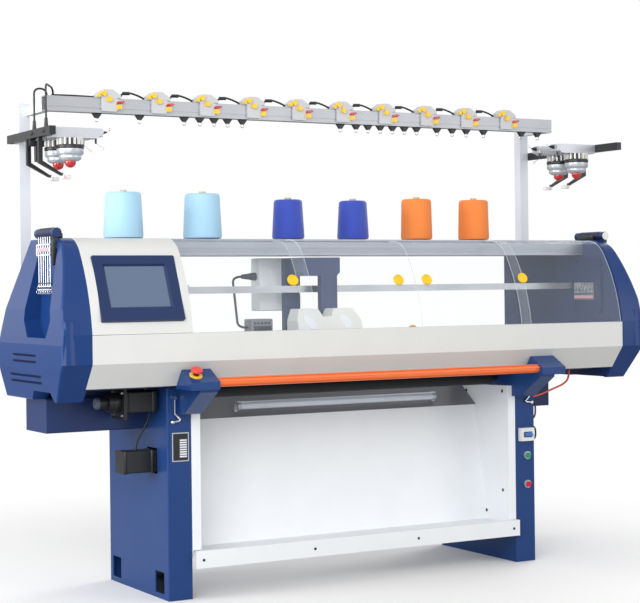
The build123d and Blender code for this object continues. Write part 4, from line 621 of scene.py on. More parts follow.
def lead(
    name,
    points,
    diameter=lead_width,
    material=lead_rubber,
    body="frame",
    stands_for=None,
):
    """A lead along points in mm that goes from the object back into the object."""
    curve = bpy.data.curves.new(name, "CURVE")
    curve.dimensions = "3D"
    spline = curve.splines.new("NURBS")
    spline.points.add(len(points) - 1)
    for knot, point in zip(spline.points, points):
        knot.co = (*in_mm(*point), 1.0)
    spline.order_u = 3
    spline.use_endpoint_u = True
    spline.resolution_u = 10
    made = bpy.data.objects.new(name, curve)
    line = bpy.data.meshes.new_from_object(made)
    ends = [[line.vertices[index].co for index in edge.vertices] for edge in line.edges]
    length = sum((first - second).length for first, second in ends)
    curve.bevel_depth = diameter / 2 * mm
    curve.bevel_resolution = 3
    curve.use_fill_caps = True
    curve.materials.append(material)
    join(made, body, stands_for)
    return length


print("leads are", lead_width, "mm thick")

# %% [markdown]
# Nine short leads link the ten tension units along the top rail. Each rises out of one unit's roof
# and drops to the next. A thicker sleeve on its hump is the connector.

# %% Leads between the tension units
rail_low, rail_high = box_mm("top_rail")
rail_top, rail_y = rail_high[2], (rail_low[1] + rail_high[1]) / 2
unit_pitch, roof_half, lead_rise = 216.0, 52.0, 5.7
unit_places = [(index - 4.5) * unit_pitch for index in range(10)]
lead_z = rail_top + lead_rise
joint_bm = bmesh.new()
lengths = []
for index, left in enumerate(unit_places[:-1]):
    first, last = left + roof_half, left + unit_pitch - roof_half
    bends = [(first, 0), (first + 9, 0), (first + 18, 20), (first + 52, 22)]
    bends += [(last - 14, 8), (last, 0)]
    route = [(x, rail_y, lead_z + rise) for x, rise in bends]
    lengths.append(lead(f"unit_lead_{index}", route, stands_for=None if index else "black_leads"))
    rod(joint_bm, (first + 20, rail_y, lead_z + 18), (first + 48, rail_y, lead_z + 19), 7)
print("leads between the units", len(lengths))

# %% [markdown]
# Two leads rise from the left feeder bar and bend over to the rail. The front one has further to
# go, so it has one bend more. A tapered sleeve at the foot of each takes the strain there.

# %% Leads from the feeder bar
left_feeders, right_feeders = (-91.5, 38.5), (-221.5, -91.5)
feeder_lead_x, rail_end = -1277.0, -1235.0
bar_top = box_mm("feeder_bars")[1][2]
for name, y, rise, landing in zip(("front", "rear"), left_feeders, (30, 26), (40, 14)):
    top, landing_x = rail_top + rise, rail_end + landing
    route = [(feeder_lead_x, y, z) for z in (bar_top, top - 50, top)]
    if name == "front":
        route.append((feeder_lead_x + 30, y + 50, top))
    route += [(landing_x, rail_y, top), (landing_x, rail_y, rail_top)]
    lengths.append(lead(f"feeder_lead_{name}", route))
    rod(joint_bm, (feeder_lead_x, y, bar_top), (feeder_lead_x, y, bar_top + 36), 8.5, 6)
piece(joint_bm, "lead_connectors", black_plastic)
print("leads so far", len(lengths))

# %% [markdown]
# The other leads run along the rail's left end, between the two motors, and down the right leg,
# where the red air hose hangs too. They hang in loose curves between their two ends.

# %% Leads and hose below
motor_y, motor_z, lower_motor_y = -191.5, 768, -146.5
leg_lead_in, leg_lead_out, leg_lead_y = 876.5, 892.5, -279.5
rail_bends = ((-1201, 0, 4), (-1112, 6, 7), (-1024, 0, 4))
other_leads = {
    "rail_lead": [(x, rail_y + y, rail_top + z) for x, y, z in rail_bends],
    "motor_lead": [
        (-904, motor_y, 728),
        (-904, motor_y, 698),
        (-945.5, lower_motor_y, 606),
        (-945.5, lower_motor_y, 576),
    ],
}
for name, top, foot in (("high", 694, 620), ("low", 582, 526)):
    bends = ((leg_lead_in, top), (leg_lead_out, top), (leg_lead_out, foot), (leg_lead_in, foot))
    other_leads[f"leg_lead_{name}"] = [(x, leg_lead_y, z) for x, z in bends]
for name, route in other_leads.items():
    lengths.append(lead(name, route))

hose_y, hose_width = -282.1, 8.8
bends = ((1078, 822), (1078, 790), (1052, 763), (985, 742), (900.5, 715), (leg_lead_in, 715))
route = [(x, hose_y, z) for x, z in bends]
lengths.append(
    lead("air_hose_line", route, hose_width, hose_plastic, stands_for="air_hose")
)
print("leads", len(lengths), "of", [round(length, 3) for length in lengths], "m")

# %% [markdown]
# A yarn feeder hangs under each bar end. Its drum has a black core with pale fins, a black ring, a
# bright bowl and a red lens below. Each part is spun from its half outline. One fin is made and
# then repeated in a circle. The whole drum turns on its own body.

# %% Feeder drums
core_outline = [(0, 0), (41, 0), (41, -26), (52, -26), (53.5, -28), (53.5, -38)]
core_outline += [(52, -40), (0, -40)]
bowl_outline = [(0, -40), (50, -40), (52.5, -42), (52.5, -57), (50, -62), (44, -66), (43, -70)]
bowl_outline += [(43.5, -75), (40, -82), (32, -87), (22, -88), (0, -88)]
lens_outline = [(22, -88), (22, -94), (20.5, -101), (16, -107.5), (9, -112), (0, -114)]
lens_plastic = surface("clear_red_lens", "C8201E", 0.12, Coat_Weight=0.6, **glazed)
bowl_metal = surface("satin_plated_steel", "C4C9D0", 0.36, 0.45, grain_mm=1.5, bump=0.05)
fin_count, fin_half, fin_in, fin_out, fin_foot, fin_top = 16, 3.5, 40, 52, -25.5, -0.5
drum_top = box_mm("feeder_bodies")[0][2] - 0.3
for place_name, node in zip(drum_places, drum_nodes):
    body = f"drum_{place_name}"
    low, high = box_mm(node)
    x, y = (low[0] + high[0]) / 2, (low[1] + high[1]) / 2
    place = (x, y, drum_top)
    core_bm, fin_bm, bowl_bm, lens_bm = bmeshes(4)
    lathe(core_bm, core_outline, place, steps=40)
    lathe(bowl_bm, bowl_outline, place, steps=40)
    lathe(lens_bm, lens_outline, place)
    fin_low = (x + fin_in, y - fin_half, drum_top + fin_foot)
    block(fin_bm, fin_low, (x + fin_out, y + fin_half, drum_top + fin_top))
    bmesh.ops.spin(
        fin_bm,
        geom=fin_bm.verts[:] + fin_bm.edges[:] + fin_bm.faces[:],
        cent=in_mm(*place),
        axis=upright,
        angle=2 * pi * (fin_count - 1) / fin_count,
        steps=fin_count - 1,
        use_duplicate=True,
    )
    piece(core_bm, f"drum_core_{place_name}", black_plastic, body, node)
    piece(fin_bm, f"drum_fins_{place_name}", white_plastic, body)
    piece(bowl_bm, f"drum_bowl_{place_name}", bowl_metal, body)
    piece(lens_bm, f"drum_lens_{place_name}", lens_plastic, body)
print("feeder drums", len(drum_places), "fins on each", fin_count)

# %% [markdown]
# A feeder ends in a small black claw with a wire guide. Its hanging arm carries a white block with
# a ceramic eye, which leads the yarn away. A black clamp with a stem sits behind the left bar.

# %% Feeder noses and eyes
claw_bm, wire_bm, eye_bm, hole_bm, tie_bm, end_bm = bmeshes(6)
feeder_low, feeder_high = box_mm("feeder_bodies")
nose_out, nose_z = -feeder_low[0] - 212, feeder_high[2] - 14
bar_out, arm_z = -feeder_low[0] + 12.5, box_mm("feeder_bars")[0][2]
eye_out, eye_back = bar_out - 88, 71


def nose(side, y, back, rise):
    """A point that lies so far behind the tip of a feeder's nose and above it."""
    return (side * (nose_out + back), y, nose_z + rise)


for side, places in ((-1, left_feeders), (1, right_feeders)):
    bar_x, eye_x = side * bar_out, side * eye_out
    for y in places:
        rod(claw_bm, nose(side, y, 4, 0), nose(side, y, -24, 2), 10, 3)
        rod(claw_bm, nose(side, y, 22, -8), nose(side, y, 22, -44), 4)
        rod(wire_bm, nose(side, y, -20, 0), nose(side, y, -32, 10), 1.5)
        eyelet(wire_bm, nose(side, y, -36, 13), (1, 0, 0), 5, 1.3)
        rod(wire_bm, nose(side, y, 22, -40), nose(side, y, -6, -58), 1.2)
        eyelet(wire_bm, nose(side, y, -9, -61), (0, 1, 0), 4, 1.2)
        block(end_bm, nose(side, y - 27, 60, -19), nose(side, y + 27, 2, 13), 3, 3)
        eye_y, eye_middle = y + eye_back, eye_x - side * 17
        eye_low = (eye_middle - 19, eye_y - 8, arm_z - 12)
        block(eye_bm, eye_low, (eye_middle + 19, eye_y + 8, arm_z + 4), 2)
        rod(tie_bm, (eye_x, eye_y, arm_z + 3), (eye_x - side * 5, eye_y, arm_z + 12), 2.5)
        eyelet(hole_bm, (eye_x - side * 10, eye_y - 8.5, arm_z - 4), (0, 1, 0), 4, 1.6)
        clamp_low = (bar_x - 16, y - 12, bar_top - 22)
        block(claw_bm, clamp_low, (bar_x + 16, y + 12, bar_top - 8), 3)
stem_x, stem_y = -1262, 65
block(claw_bm, (-1291, 61, 1766), (-1228, 70.4, 1797), 3)
rod(claw_bm, (stem_x, stem_y, 1768), (stem_x, stem_y, 1706), 8, 7)
piece(end_bm, "feeder_ends", silver_paint)
piece(claw_bm, "feeder_claws", black_plastic)
piece(wire_bm, "feeder_wires", chrome)
piece(eye_bm, "yarn_eye_blocks", white_plastic)
piece(hole_bm, "yarn_eye_rings", pink_ceramic)
piece(tie_bm, "yarn_eye_pins", black_plastic)
print("feeders", len(left_feeders) + len(right_feeders))

# %% [markdown]
# Along the top rail, each tension unit has a red stop lamp beside its yellow adjuster. A wire ring
# hangs from every black yarn guide under the rail. The guides' places are shares of the rail's
# half length.

# %% Rail details
flag_bm, ring_bm = bmeshes(2)
unit_front = box_mm("tension_units")[0][1]
flag_outline = ((30, 0), (54, 3), (68, 10), (62, 14), (36, 12))
flag_z, flag_proud, flag_depth = 1941, 7, 8
for x in unit_places:
    corners = [(x + along, unit_front - flag_proud, flag_z + up) for along, up in flag_outline]
    slab(flag_bm, corners, (0, flag_depth, 0))
round_edges(flag_bm, flag_bm.edges[:], 1.5)
guide_shares = (-0.82, -0.67, -0.51, -0.453, -0.40, -0.35, -0.294, 0.09, 0.154, 0.203)
guide_shares += (0.254, 0.305, 0.355, 0.407, 0.495, 0.561, 0.623, 0.70, 0.872, 0.945)
ring_z = box_mm("yarn_guides")[0][2] - 6
for share in guide_shares:
    eyelet(ring_bm, (-rail_end * share, rail_y, ring_z), (0, 1, 0), 8, 1.8)
piece(flag_bm, "stop_lamps", lens_plastic)
piece(ring_bm, "guide_rings", chrome)
print("stop lamps", len(unit_places), "guide rings", len(guide_shares))

# %% [markdown]
# A tension roller lies above each end cover, and the right one has a white cap in front. Behind
# the right window, the yarn passes a clamp unit with two rows of bright rings above a strip of
# ceramic. The rings are wire, so each is a circle that is spun.

# %% Roller cap and entry comb
tension_low, tension_high = box_mm("side_tensioners")
roller_out, roller_front, roller_z = 1304.0, tension_low[1], tension_high[2] - 19
cap_bm, comb_bm, strip_bm = bmeshes(3)
cap_outline = [(0, 0), (15, 0), (17.5, 1), (17.5, 2.5), (0, 3.5)]
lathe(cap_bm, cap_outline, (roller_out, roller_front, roller_z), (0, -1, 0))
entry_low, entry_high = box_mm("yarn_entry_guides")
entry_count, entry_x, entry_top = 6, entry_low[0], entry_high[2]
for index in range(entry_count):
    y = entry_low[1] + (entry_high[1] - entry_low[1]) * (index + 0.5) / entry_count
    eyelet(comb_bm, (entry_x - 2, y, entry_top - 24), (1, 0, 0.4), 8, 2.2)
    eyelet(comb_bm, (entry_x - 2, y, entry_top - 42), (1, 0, -0.4), 6, 2)
strip_low = (entry_x - 3, entry_low[1] + 4, entry_low[2] + 8)
block(strip_bm, strip_low, (entry_x + 1, entry_high[1] - 4, entry_low[2] + 22), 1, 1)
piece(cap_bm, "roller_cap", white_plastic)
piece(comb_bm, "entry_rings", chrome)
piece(strip_bm, "entry_strip", pink_ceramic)
print("entry rings", 2 * entry_count)

# %% [markdown]
# Above each end cover a roller carries six spring arms, which keep the yarn tight. The arms are
# thin wires with a hooked end. A white frame holds a row of ceramic discs where the yarn passes,
# and black mounts carry it all.

# %% Side tensioners
roller_bm, collar_bm, arm_bm, hook_bm, frame_bm, disc_bm, mount_bm = bmeshes(7)
roller_outline = [(0, 0), (17, 0), (19, 2), (19, 198), (17, 200), (0, 200)]
collar_outline = [(19, -5), (20.6, -4), (20.6, 4), (19, 5)]
disc_outline = [(0, 0), (7, 0), (8.5, 1.5), (8.5, 3.5), (7, 5), (0, 5)]
arm_foot, arm_out, frame_out, disc_z = tension_low[2], 1318.5, 1320.0, 1356
arm_places = [roller_front + 40 + 24 * index for index in range(6)]
low_y, high_y = arm_places[0] - 12, arm_places[-1] + 12
bar_width, frame_foot, frame_top = 5, 1334, 1378
frame_bars = (
    ((low_y, frame_foot), (low_y + bar_width, frame_top)),
    ((high_y - bar_width, frame_foot), (high_y, frame_top)),
    ((low_y, frame_foot), (high_y, frame_foot + bar_width)),
    ((low_y, frame_top - bar_width), (high_y, frame_top)),
)
mounts = (
    (1262, 1294, (roller_front + 50, 1399.9), (roller_front + 150, 1419), 3, 2),
    (1298, 1319, (roller_front + 6, 1296), (roller_front + 22, 1404), 2, 2),
    (1316, 1321, (low_y, 1228), (high_y, 1232), 1, 1),
)
for side in (-1, 1):
    roller_x, arm_x = side * roller_out, side * arm_out
    lathe(roller_bm, roller_outline, (roller_x, roller_front, roller_z), (0, 1, 0), 40)
    for y in arm_places:
        lathe(collar_bm, collar_outline, (roller_x, y, roller_z), (0, 1, 0))
        rod(arm_bm, (arm_x, y, roller_z + 8), (arm_x, y, arm_foot + 12), 1.4, sides=8)
        eyelet(hook_bm, (arm_x, y, arm_foot + 8), (0.5, 1, 0.3), 7, 1.6)
        eyelet(hook_bm, (arm_x, y + 4, arm_foot - 6), (0.5, 1, -0.3), 8, 1.6)
        lathe(disc_bm, disc_outline, (side * (arm_out + 1), y, disc_z), (side, 0, 0), 20)
    for low, high in frame_bars:
        block(frame_bm, (side * frame_out, *low), (side * (frame_out + bar_width), *high), 1, 1)
    for near_x, far_x, low, high, bevel, segments in mounts:
        block(mount_bm, (side * near_x, *low), (side * far_x, *high), bevel, segments)
piece(
    roller_bm, "tension_rollers", dark_blue_paint, stands_for="side_tensioners"
)
piece(collar_bm, "tension_collars", black_plastic)
piece(arm_bm, "tension_arms", chrome)
piece(hook_bm, "tension_hooks", chrome)
piece(frame_bm, "tension_frames", white_plastic)
piece(disc_bm, "tension_discs", pink_ceramic)
piece(mount_bm, "tension_mounts", black_plastic)
print("tension arms", 2 * len(arm_places))

# %% [markdown]
# The emergency stop is a red mushroom head on a black stem, over a yellow ring. It stands square
# on the bracket's sloping face, so its outline is spun upright and then tipped to the slope. The
# head and the stem ride on the button, and the ring stays on the bracket.

# %% Emergency stop
joint_rows = {row["name"]: row for row in frame["record"]["behaviour"]["joints"]}
press_way = -Vector(joint_rows["estop_press"]["axis"])
stop_low, stop_high = box_mm("estop_button")
bracket_low, bracket_high = box_mm("rod_brackets")
slope_rise = 45
slope_depth = slope_rise * press_way.z / -press_way.y
stop_foot = (
    (stop_low[0] + stop_high[0]) / 2,
    bracket_low[1] + slope_depth / 2,
    bracket_high[2] - slope_rise / 2,
)
head_outline = [(13, 18), (20, 18.5), (22.4, 20), (23, 23), (22.4, 27)]
head_outline += [(19.5, 30.5), (13, 32.5), (0, 33)]
stem_outline = [(0, 0), (11, 0), (11, 12), (13.5, 18.5), (0, 18.5)]
ring_outline = [(11.4, 0), (25.3, 0), (25.3, 3.4), (24.3, 4.3), (11.4, 4.3), (11.4, 0)]
button = "estop_button"
for name, outline, material, slot, body, stands_for in (
    ("stop_cap", head_outline, red_plastic, "red_plastic", button, button),
    ("stop_stem", stem_outline, black_plastic, "black_plastic", button, None),
    ("stop_ring", ring_outline, yellow_plastic, "yellow_plastic", "frame", None),
):
    stop_bm = bmesh.new()
    lathe(stop_bm, outline, stop_foot, press_way, 40)
    piece(stop_bm, name, material, body, stands_for)
print("stop button at", [round(value, 1) for value in stop_foot], "mm")

# %% [markdown]
# The left leg carries a small blank plate: a pale border, a dark field and empty ruled boxes. The
# breaker on the right leg gets its dark window and a seam. All of it is thin, so plain blocks do.

# %% Plates
border_bm, field_bm, rule_bm = bmeshes(3)
leg_face, breaker_face = box_mm("leg_left")[0][1], box_mm("breaker")[0][1]
plate_left, plate_right, plate_foot, plate_top, border = -856, -785, 536, 648, 4
plate_low = (plate_left, leg_face - 1, plate_foot)
block(border_bm, plate_low, (plate_right, leg_face + 0.2, plate_top), 0.4, 1)
field_low = (plate_left + border, leg_face - 1.4, plate_foot + border)
block(field_bm, field_low, (plate_right - border, leg_face - 0.6, plate_top - border), 0.2, 1)
rule_left, rule_right, rule_foot, rule_pitch, rule_height = -824, -794, 552, 9, 6
for index in range(8):
    z = rule_foot + rule_pitch * index
    rule_low = (rule_left, leg_face - 1.7, z)
    block(rule_bm, rule_low, (rule_right, leg_face - 1.2, z + rule_height))
breaker_back = breaker_face + 0.4
block(field_bm, (803, breaker_face - 0.6, 541), (847, breaker_back, 565), 0.2, 1)
block(rule_bm, (793, breaker_face - 0.5, 570), (857, breaker_back, 571.2))
piece(border_bm, "plate_border", silver_paint)
piece(field_bm, "plate_field", black_paint)
piece(rule_bm, "plate_rules", pale_paint)
print("plate", plate_right - plate_left, "by", plate_top - plate_foot, "mm")

# %% [markdown]
# The carriage carries a wiring box with a plug and a cable that loops down to the selector box.
# Blocks with rounded edges do for both boxes. All of it rides on the carriage.

# %% Carriage boxes
box_bm, plug_bm, selector_bm = bmeshes(3)
box_left, box_right, box_front, box_foot, box_top = -340, -200, -46.5, 1107, 1325
rib_front, rib_back = box_front - 2.5, box_front + 0.5
block(box_bm, (box_left, box_front, box_foot), (box_right, box_front + 80, box_top), 6, 3)
block(box_bm, (box_left + 50, rib_front, 1140), (box_right - 50, rib_back, 1285), 2)
block(box_bm, (box_left + 3, rib_front, box_top - 12), (box_right - 3, rib_back, box_top - 3), 1)
plug_y, plug_z, plug_end = -6.5, 1250, -402
rod(plug_bm, (box_left + 2, plug_y, plug_z), (-362, plug_y, plug_z), 17, 15, 24)
rod(plug_bm, (-360, plug_y, plug_z), (plug_end, plug_y, plug_z), 14, 9, 24)
selector_left, selector_front = -400, -86.5
block(selector_bm, (selector_left, selector_front, 978), (-300, -16.5, 1075), 6, 3)
for index in range(5):
    x = selector_left + 16 * (index + 1)
    rod(plug_bm, (x, selector_front - 1.5, 1058), (x, selector_front + 2.5, 1058), 5)
block(plug_bm, (-390, selector_front - 3.5, 1020), (-310, selector_front + 1.5, 1046), 2)
cable_x, entry_y, entry_z = -445, -51.5, 1040
cable = [(selector_left, plug_y, plug_z), (cable_x, plug_y, plug_z), (cable_x, -17, 1200)]
cable += [(cable_x, -41, 1090), (cable_x, entry_y, entry_z), (selector_left, entry_y, entry_z)]
cable_length = lead("carriage_cable", cable, 10, body="carriage")
piece(box_bm, "wiring_box", bin_paint, "carriage", "carriage_wiring_box")
piece(plug_bm, "wiring_plug", black_plastic, "carriage")
piece(selector_bm, "selector_box", grey_paint, "carriage")
print("carriage cable", round(cable_length, 3), "m")

# %% [markdown]
# The white cover in front of the carriage has two oval marks and two slots where a hand takes
# hold. A mark is a flat cone that is squeezed, turned in its own plane, and laid on the cover's
# slope.

# %% Carriage cover marks
oval_bm, slot_bm = bmeshes(2)
cover_way = Vector((0, -110, 40)).normalized()
cover_turn = upright.rotation_difference(cover_way).to_matrix().to_4x4()
oval_y, oval_z, oval_tilt, oval_share = -297.5, 1061, radians(35), 0.55
oval_shape = Matrix.Rotation(oval_tilt, 4, "Z") @ Matrix.Diagonal((oval_share, 1.0, 1.0, 1.0))
mark_places, slot_half = (-242, -72), 24
for x in mark_places:
    bmesh.ops.create_cone(
        oval_bm,
        cap_ends=True,
        segments=40,
        radius1=36 * mm,
        radius2=34 * mm,
        depth=3 * mm,
        matrix=Matrix.Translation(in_mm(x, oval_y, oval_z)) @ cover_turn @ oval_shape,
    )
    block(slot_bm, (x - slot_half, -318, 984), (x + slot_half, -315, 990), 1, 1)
piece(oval_bm, "cover_ovals", bin_paint, "carriage")
piece(slot_bm, "cover_slots", black_plastic, "carriage")
print("cover marks", len(mark_places), "slots", len(mark_places))

# %% [markdown]
# Navy strips close the gap between the electrical boxes and the bed base. Both motors under the
# left end have a flange at each end, and the upper one has a round gear casing and four hexagon
# bolts.

# %% Hangers and motor flanges
hanger_bm, gear_bm, bolt_bm = bmeshes(3)
hanger_foot, hanger_top = box_mm("electrical_box")[1][2] - 0.5, box_mm("bed_base")[0][2] + 0.5
hanger_front, hanger_back = -90, -86
for x_low, x_high in ((-1230, -880), (880, 1096)):
    hanger_low = (x_low, hanger_front, hanger_foot)
    block(hanger_bm, hanger_low, (x_high, hanger_back, hanger_top), 0.5, 1)
gear_outline = [(0, -40), (26, -40), (30, -38), (30, -30), (36, -28)]
gear_outline += [(38, -26), (38, -8), (36, -6), (0, -6)]
lathe(gear_bm, gear_outline, (-1030, motor_y, motor_z), (1, 0, 0), 40)
flange_rows = (
    (((-1023, -1006), (-912, -892)), (-234, 726), (-149, 810)),
    (((-1013, -1000), (-900, -884)), (-192, 487.5), (-101, 578.5)),
)
for spans, low, high in flange_rows:
    for x_low, x_high in spans:
        block(gear_bm, (x_low, *low), (x_high, *high), 5, 3)
bolt_head, bolt_foot = -1045, -1036
for y in (-238, -145):
    for z in (720, 806):
        rod(bolt_bm, (bolt_head, y, z), (bolt_foot, y, z), 6, sides=6)
piece(hanger_bm, "box_hangers", dark_blue_paint)
piece(gear_bm, "motor_housings", black_paint)
piece(bolt_bm, "motor_bolts", ground_steel)
print("hangers from", round(hanger_foot, 1), "to", round(hanger_top, 1), "mm")

# %% [markdown]
# The bin's side sheets are folded at the front into narrow flanges that meet the legs. Its lip has
# a few black screws. On each side wall, four flat black discs stand for holes: painted shade where
# the open holes are dark. The lamp tube has a holder at each end.

# %% Bin and lamp details
flange_bm, screw_bm, holder_bm = bmeshes(3)
screw_outline = [(0, 0), (5.5, 0), (5.5, 2), (4, 3.2), (0, 3.5)]
hole_shade_outline = [(0, 0), (7.5, 0), (7.5, 0.6), (0, 0.8)]
holder_outline = [(0, 0), (18.5, 0), (18.5, 16), (17.2, 18), (0, 18)]
screw_places, screw_z = (-740, -245, 250, 740), 152
wall_holes = ((-201, 738), (-200, 304), (72, 729), (-76, 203))
bin_low, bin_high = box_mm("fabric_bin")
bin_edge, bin_front = bin_high[0], bin_low[1]
flange_in, flange_out, wall_face = bin_edge - 38, bin_edge - 0.5, bin_edge - 2
for x in screw_places:
    lathe(screw_bm, screw_outline, (x, bin_front, screw_z), (0, -1, 0), 16)
for side in (-1, 1):
    flange_low = (side * flange_in, leg_face - 1, 188)
    block(flange_bm, flange_low, (side * flange_out, leg_face + 1.5, 764), 0.5, 1)
    # Each wall hole is a flat black disc: painted shade for the open hole.
    for y, z in wall_holes:
        lathe(screw_bm, hole_shade_outline, (side * wall_face, y, z), (-side, 0, 0), 16)
lamp_low, lamp_high = box_mm("work_lamp")
lamp_y, lamp_z = lamp_low[1] + 17, lamp_high[2] - 17
for x, way in ((lamp_low[0], 1), (lamp_high[0], -1)):
    lathe(holder_bm, holder_outline, (x + way * 5, lamp_y, lamp_z), (way, 0, 0), 24)
piece(flange_bm, "bin_flanges", bin_paint)
piece(screw_bm, "bin_screws", black_plastic)
piece(holder_bm, "lamp_holders", silver_paint)
print("screws", len(screw_places), "wall holes", 2 * len(wall_holes))

# %% [markdown]
# At its outer end the upper motor has a plain cast hub with a raised ring. It is a lathe form that
# is tipped along the motor's shaft.

# %% Motor hub
hub_bm = bmesh.new()
hub_outline = [(0, 0), (9, 0), (10, -2), (18, -2), (20, 0), (23, 1), (23, 12), (0, 12)]
lathe(hub_bm, hub_outline, (-1130, motor_y, motor_z), (1, 0, 0))
piece(hub_bm, "motor_hub", casting_paint)
print("hub", 2 * max(radius for radius, _ in hub_outline), "mm across")

# %% [markdown]
# Four long vents are pressed into the leaning face of each end cover. Their openings lie in shade,
# so a dark strip of painted shade lies along each. Its corners are found by casting rays at the
# cover beside the vent, so it follows the slope.

# %% Vent strips
# The dark navy of the strips is painted shade for the vents' open slots.
vent_shade = surface("painted_shade_vent_navy", "0A1838", 0.60, grain_mm=2.0, Specular_IOR_Level=0.08)
vents = ((253, 957), (253, 933), (338, 879), (338, 855))
vent_middle, vent_height, cast_rise, cast_from = -47, 9, 11, 1500
proud, sunk = 0.3, 2
evaluated = bpy.context.evaluated_depsgraph_get()


def cover_point(cover, side, y, z):
    """The point in mm where a ray from outside meets an end cover."""
    start = in_mm(side * cast_from, y, z)
    return cover.ray_cast(start, (-side, 0, 0), depsgraph=evaluated)[1] / mm


vent_bm = bmesh.new()
for side, name in ((-1, "end_cover_left"), (1, "end_cover_right")):
    cover = frame["nodes"][name]
    cover_edge = max(abs(corner[0]) for corner in box_mm(name))
    for length, z in vents:
        corners = []
        for along, up in ((-1, -1), (1, -1), (1, 1), (-1, 1)):
            y, rise = vent_middle + along * length / 2, up * cast_rise / 2
            near, far = (cover_point(cover, side, y, z + shift) for shift in (rise, -rise))
            corner = near.lerp(far, (cast_rise - vent_height) / (2 * cast_rise))
            corner.x = side * min(abs(corner.x) + proud, cover_edge)
            corners.append(corner)
        slab(vent_bm, corners, (-side * sunk, 0, 0))
piece(vent_bm, "vent_strips", vent_shade)
print("vent strips", 2 * len(vents))

# %% [markdown]
# Inside the front panel sits an amber latch knob. Only its upper rim shows over the panel's edge.
# It is turned like the window knobs.

# %% Latch knob
latch_bm = bmesh.new()
latch_outline = [(0, 0), (8, 0), (8, 8), (19, 8), (21, 10), (21, 17), (19, 19), (0, 18)]
latch_place = (157, -424, 1024)
lathe(latch_bm, latch_outline, latch_place, (0, -1, 0))
piece(latch_bm, "latch_knob", amber_plastic)
print("latch knob at", latch_place, "mm")

# %% [markdown]
# The studio floor is pale paper that fades to white far from the machine, so it keeps the shadow
# near the machine and has no edge. It is a large disc just below the feet. Only the camera sees
# the pale tone, because a floor as bright as that would light the machine from below.

# %% Floor
white = (1, 1, 1, 1)
floor_radius, floor_drop, fade_from, fade_to = 60, 0.5 * mm, 1.2, 3.2
floor_mesh = bpy.data.meshes.new("studio_floor")
floor_bm = bmesh.new()
bmesh.ops.create_circle(floor_bm, cap_ends=True, segments=64, radius=floor_radius)
bmesh.ops.translate(floor_bm, verts=floor_bm.verts, vec=(0, 0, -floor_drop))
floor_bm.to_mesh(floor_mesh)
floor_bm.free()
floor = bpy.data.objects.new("studio_floor", floor_mesh)
bpy.context.scene.collection.objects.link(floor)

floor_paint, floor_tree, floor_shader = new_material("studio_paper")
floor_shader.inputs["Roughness"].default_value = 0.9
camera_ray = add_node(floor_tree, "ShaderNodeLightPath").outputs["Is Camera Ray"]
fed = {"Factor": camera_ray, "A": linear("B4B4B4"), "B": linear("F8F8F8")}
floor_tone = add_node(floor_tree, "ShaderNodeMix", {"data_type": "RGBA"}, fed)
floor_tree.links.new(floor_tone.outputs["Result"], floor_shader.inputs["Base Color"])
floor_place = add_node(floor_tree, "ShaderNodeTexCoord").outputs["Object"]
reach = add_node(floor_tree, "ShaderNodeVectorMath", {"operation": "LENGTH"}, {0: floor_place})
fed = {"Value": reach.outputs["Value"], "From Min": fade_from, "From Max": fade_to}
fade = add_node(floor_tree, "ShaderNodeMapRange", {"interpolation_type": "SMOOTHSTEP"}, fed)
fed = {0: fade.outputs[0], 1: camera_ray}
seen = add_node(floor_tree, "ShaderNodeMath", {"operation": "MULTIPLY"}, fed)
glow = add_node(floor_tree, "ShaderNodeEmission", inputs={"Color": white, "Strength": 1.0})
fed = {0: seen.outputs[0], 1: floor_shader.outputs[0], 2: glow.outputs[0]}
blend = add_node(floor_tree, "ShaderNodeMixShader", inputs=fed)
floor_tree.links.new(blend.outputs[0], floor_tree.nodes["Material Output"].inputs["Surface"])
floor_mesh.materials.append(floor_paint)
print("floor fades from", fade_from, "to", fade_to, "m")

# %% [markdown]
# A white world shows behind the machine, in gloss and through the windows, but lights the paint
# only half as much. Four large soft lamps do the rest: a key and a side lamp on the left, a weak
# fill on the right, and one behind.

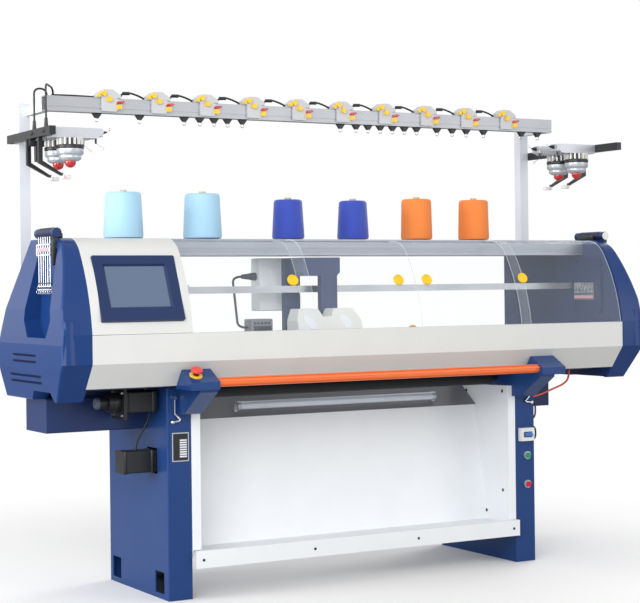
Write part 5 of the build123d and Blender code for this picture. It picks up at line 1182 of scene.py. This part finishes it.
# %% World and lamps
world = bpy.data.worlds.new("studio_world")
bpy.context.scene.world = world
world.use_nodes = True
sky = world.node_tree
sky.nodes.clear()
sky_rays = add_node(sky, "ShaderNodeLightPath")
shown = sky_rays.outputs["Is Camera Ray"]
for kind in ("Is Transmission Ray", "Is Glossy Ray"):
    fed = {0: shown, 1: sky_rays.outputs[kind]}
    shown = add_node(sky, "ShaderNodeMath", {"operation": "MAXIMUM"}, fed).outputs[0]
fed = {"Value": shown, "To Min": 0.5, "To Max": 1.0}
strength = add_node(sky, "ShaderNodeMapRange", inputs=fed).outputs[0]
sky_light = add_node(sky, "ShaderNodeBackground", inputs={"Color": white, "Strength": strength})
add_node(sky, "ShaderNodeOutputWorld", inputs={"Surface": sky_light.outputs[0]})

lamp_target = Vector((0, 0, 1.0))
lamp_rows = (
    ("key_lamp", (-4.2, -4.8, 3.0), 4.0, 260),
    ("side_lamp", (-6.4, 0.4, 2.0), 3.0, 230),
    ("fill_lamp", (3.5, -5.5, 2.6), 4.0, 85),
    ("back_lamp", (4.4, 2.2, 3.6), 2.2, 95),
)
for name, place, size, power in lamp_rows:
    lamp = bpy.data.lights.new(name, "AREA")
    lamp.size = size
    lamp.energy = power
    made = bpy.data.objects.new(name, lamp)
    turn = (lamp_target - Vector(place)).to_track_quat("-Z", "Y").to_matrix().to_4x4()
    made.matrix_world = Matrix.Translation(place) @ turn
    bpy.context.scene.collection.objects.link(made)
print("lamps", len(lamp_rows), "watts", sum(row[3] for row in lamp_rows))

# %% [markdown]
# The camera stands at the photograph's place: in front of the machine's left end, at window
# height, with a long lens. The shift moves the picture down a little so that the yarn stand and
# the legs both fit. The lens and the shift are given in pixels of a picture 640 wide.

# %% Camera
camera_place = Vector((-3.511, -6.123, 1.209))
yaw, pitch, roll = radians(29.644), radians(-0.101), radians(-0.661)
picture_width, focal_length, rise, sensor = 640, 1657.0, -12.9, 36
forward = Vector((sin(yaw) * cos(pitch), cos(yaw) * cos(pitch), sin(pitch)))
level = Vector((cos(yaw), -sin(yaw), 0))
above = level.cross(forward)
right_way = cos(roll) * level + sin(roll) * above
up_way = cos(roll) * above - sin(roll) * level
camera_data = bpy.data.cameras.new("camera")
camera_data.sensor_width = sensor
camera_data.lens = sensor * (focal_length / picture_width)
camera_data.shift_y = rise / picture_width
camera = bpy.data.objects.new("camera", camera_data)
turn = Matrix((right_way, up_way, -forward)).transposed()
camera.matrix_world = Matrix.Translation(camera_place) @ turn.to_4x4()
bpy.context.scene.collection.objects.link(camera)
bpy.context.scene.camera = camera
bpy.context.scene.view_settings.view_transform = "Standard"
print("lens", round(camera_data.lens, 1), "mm")
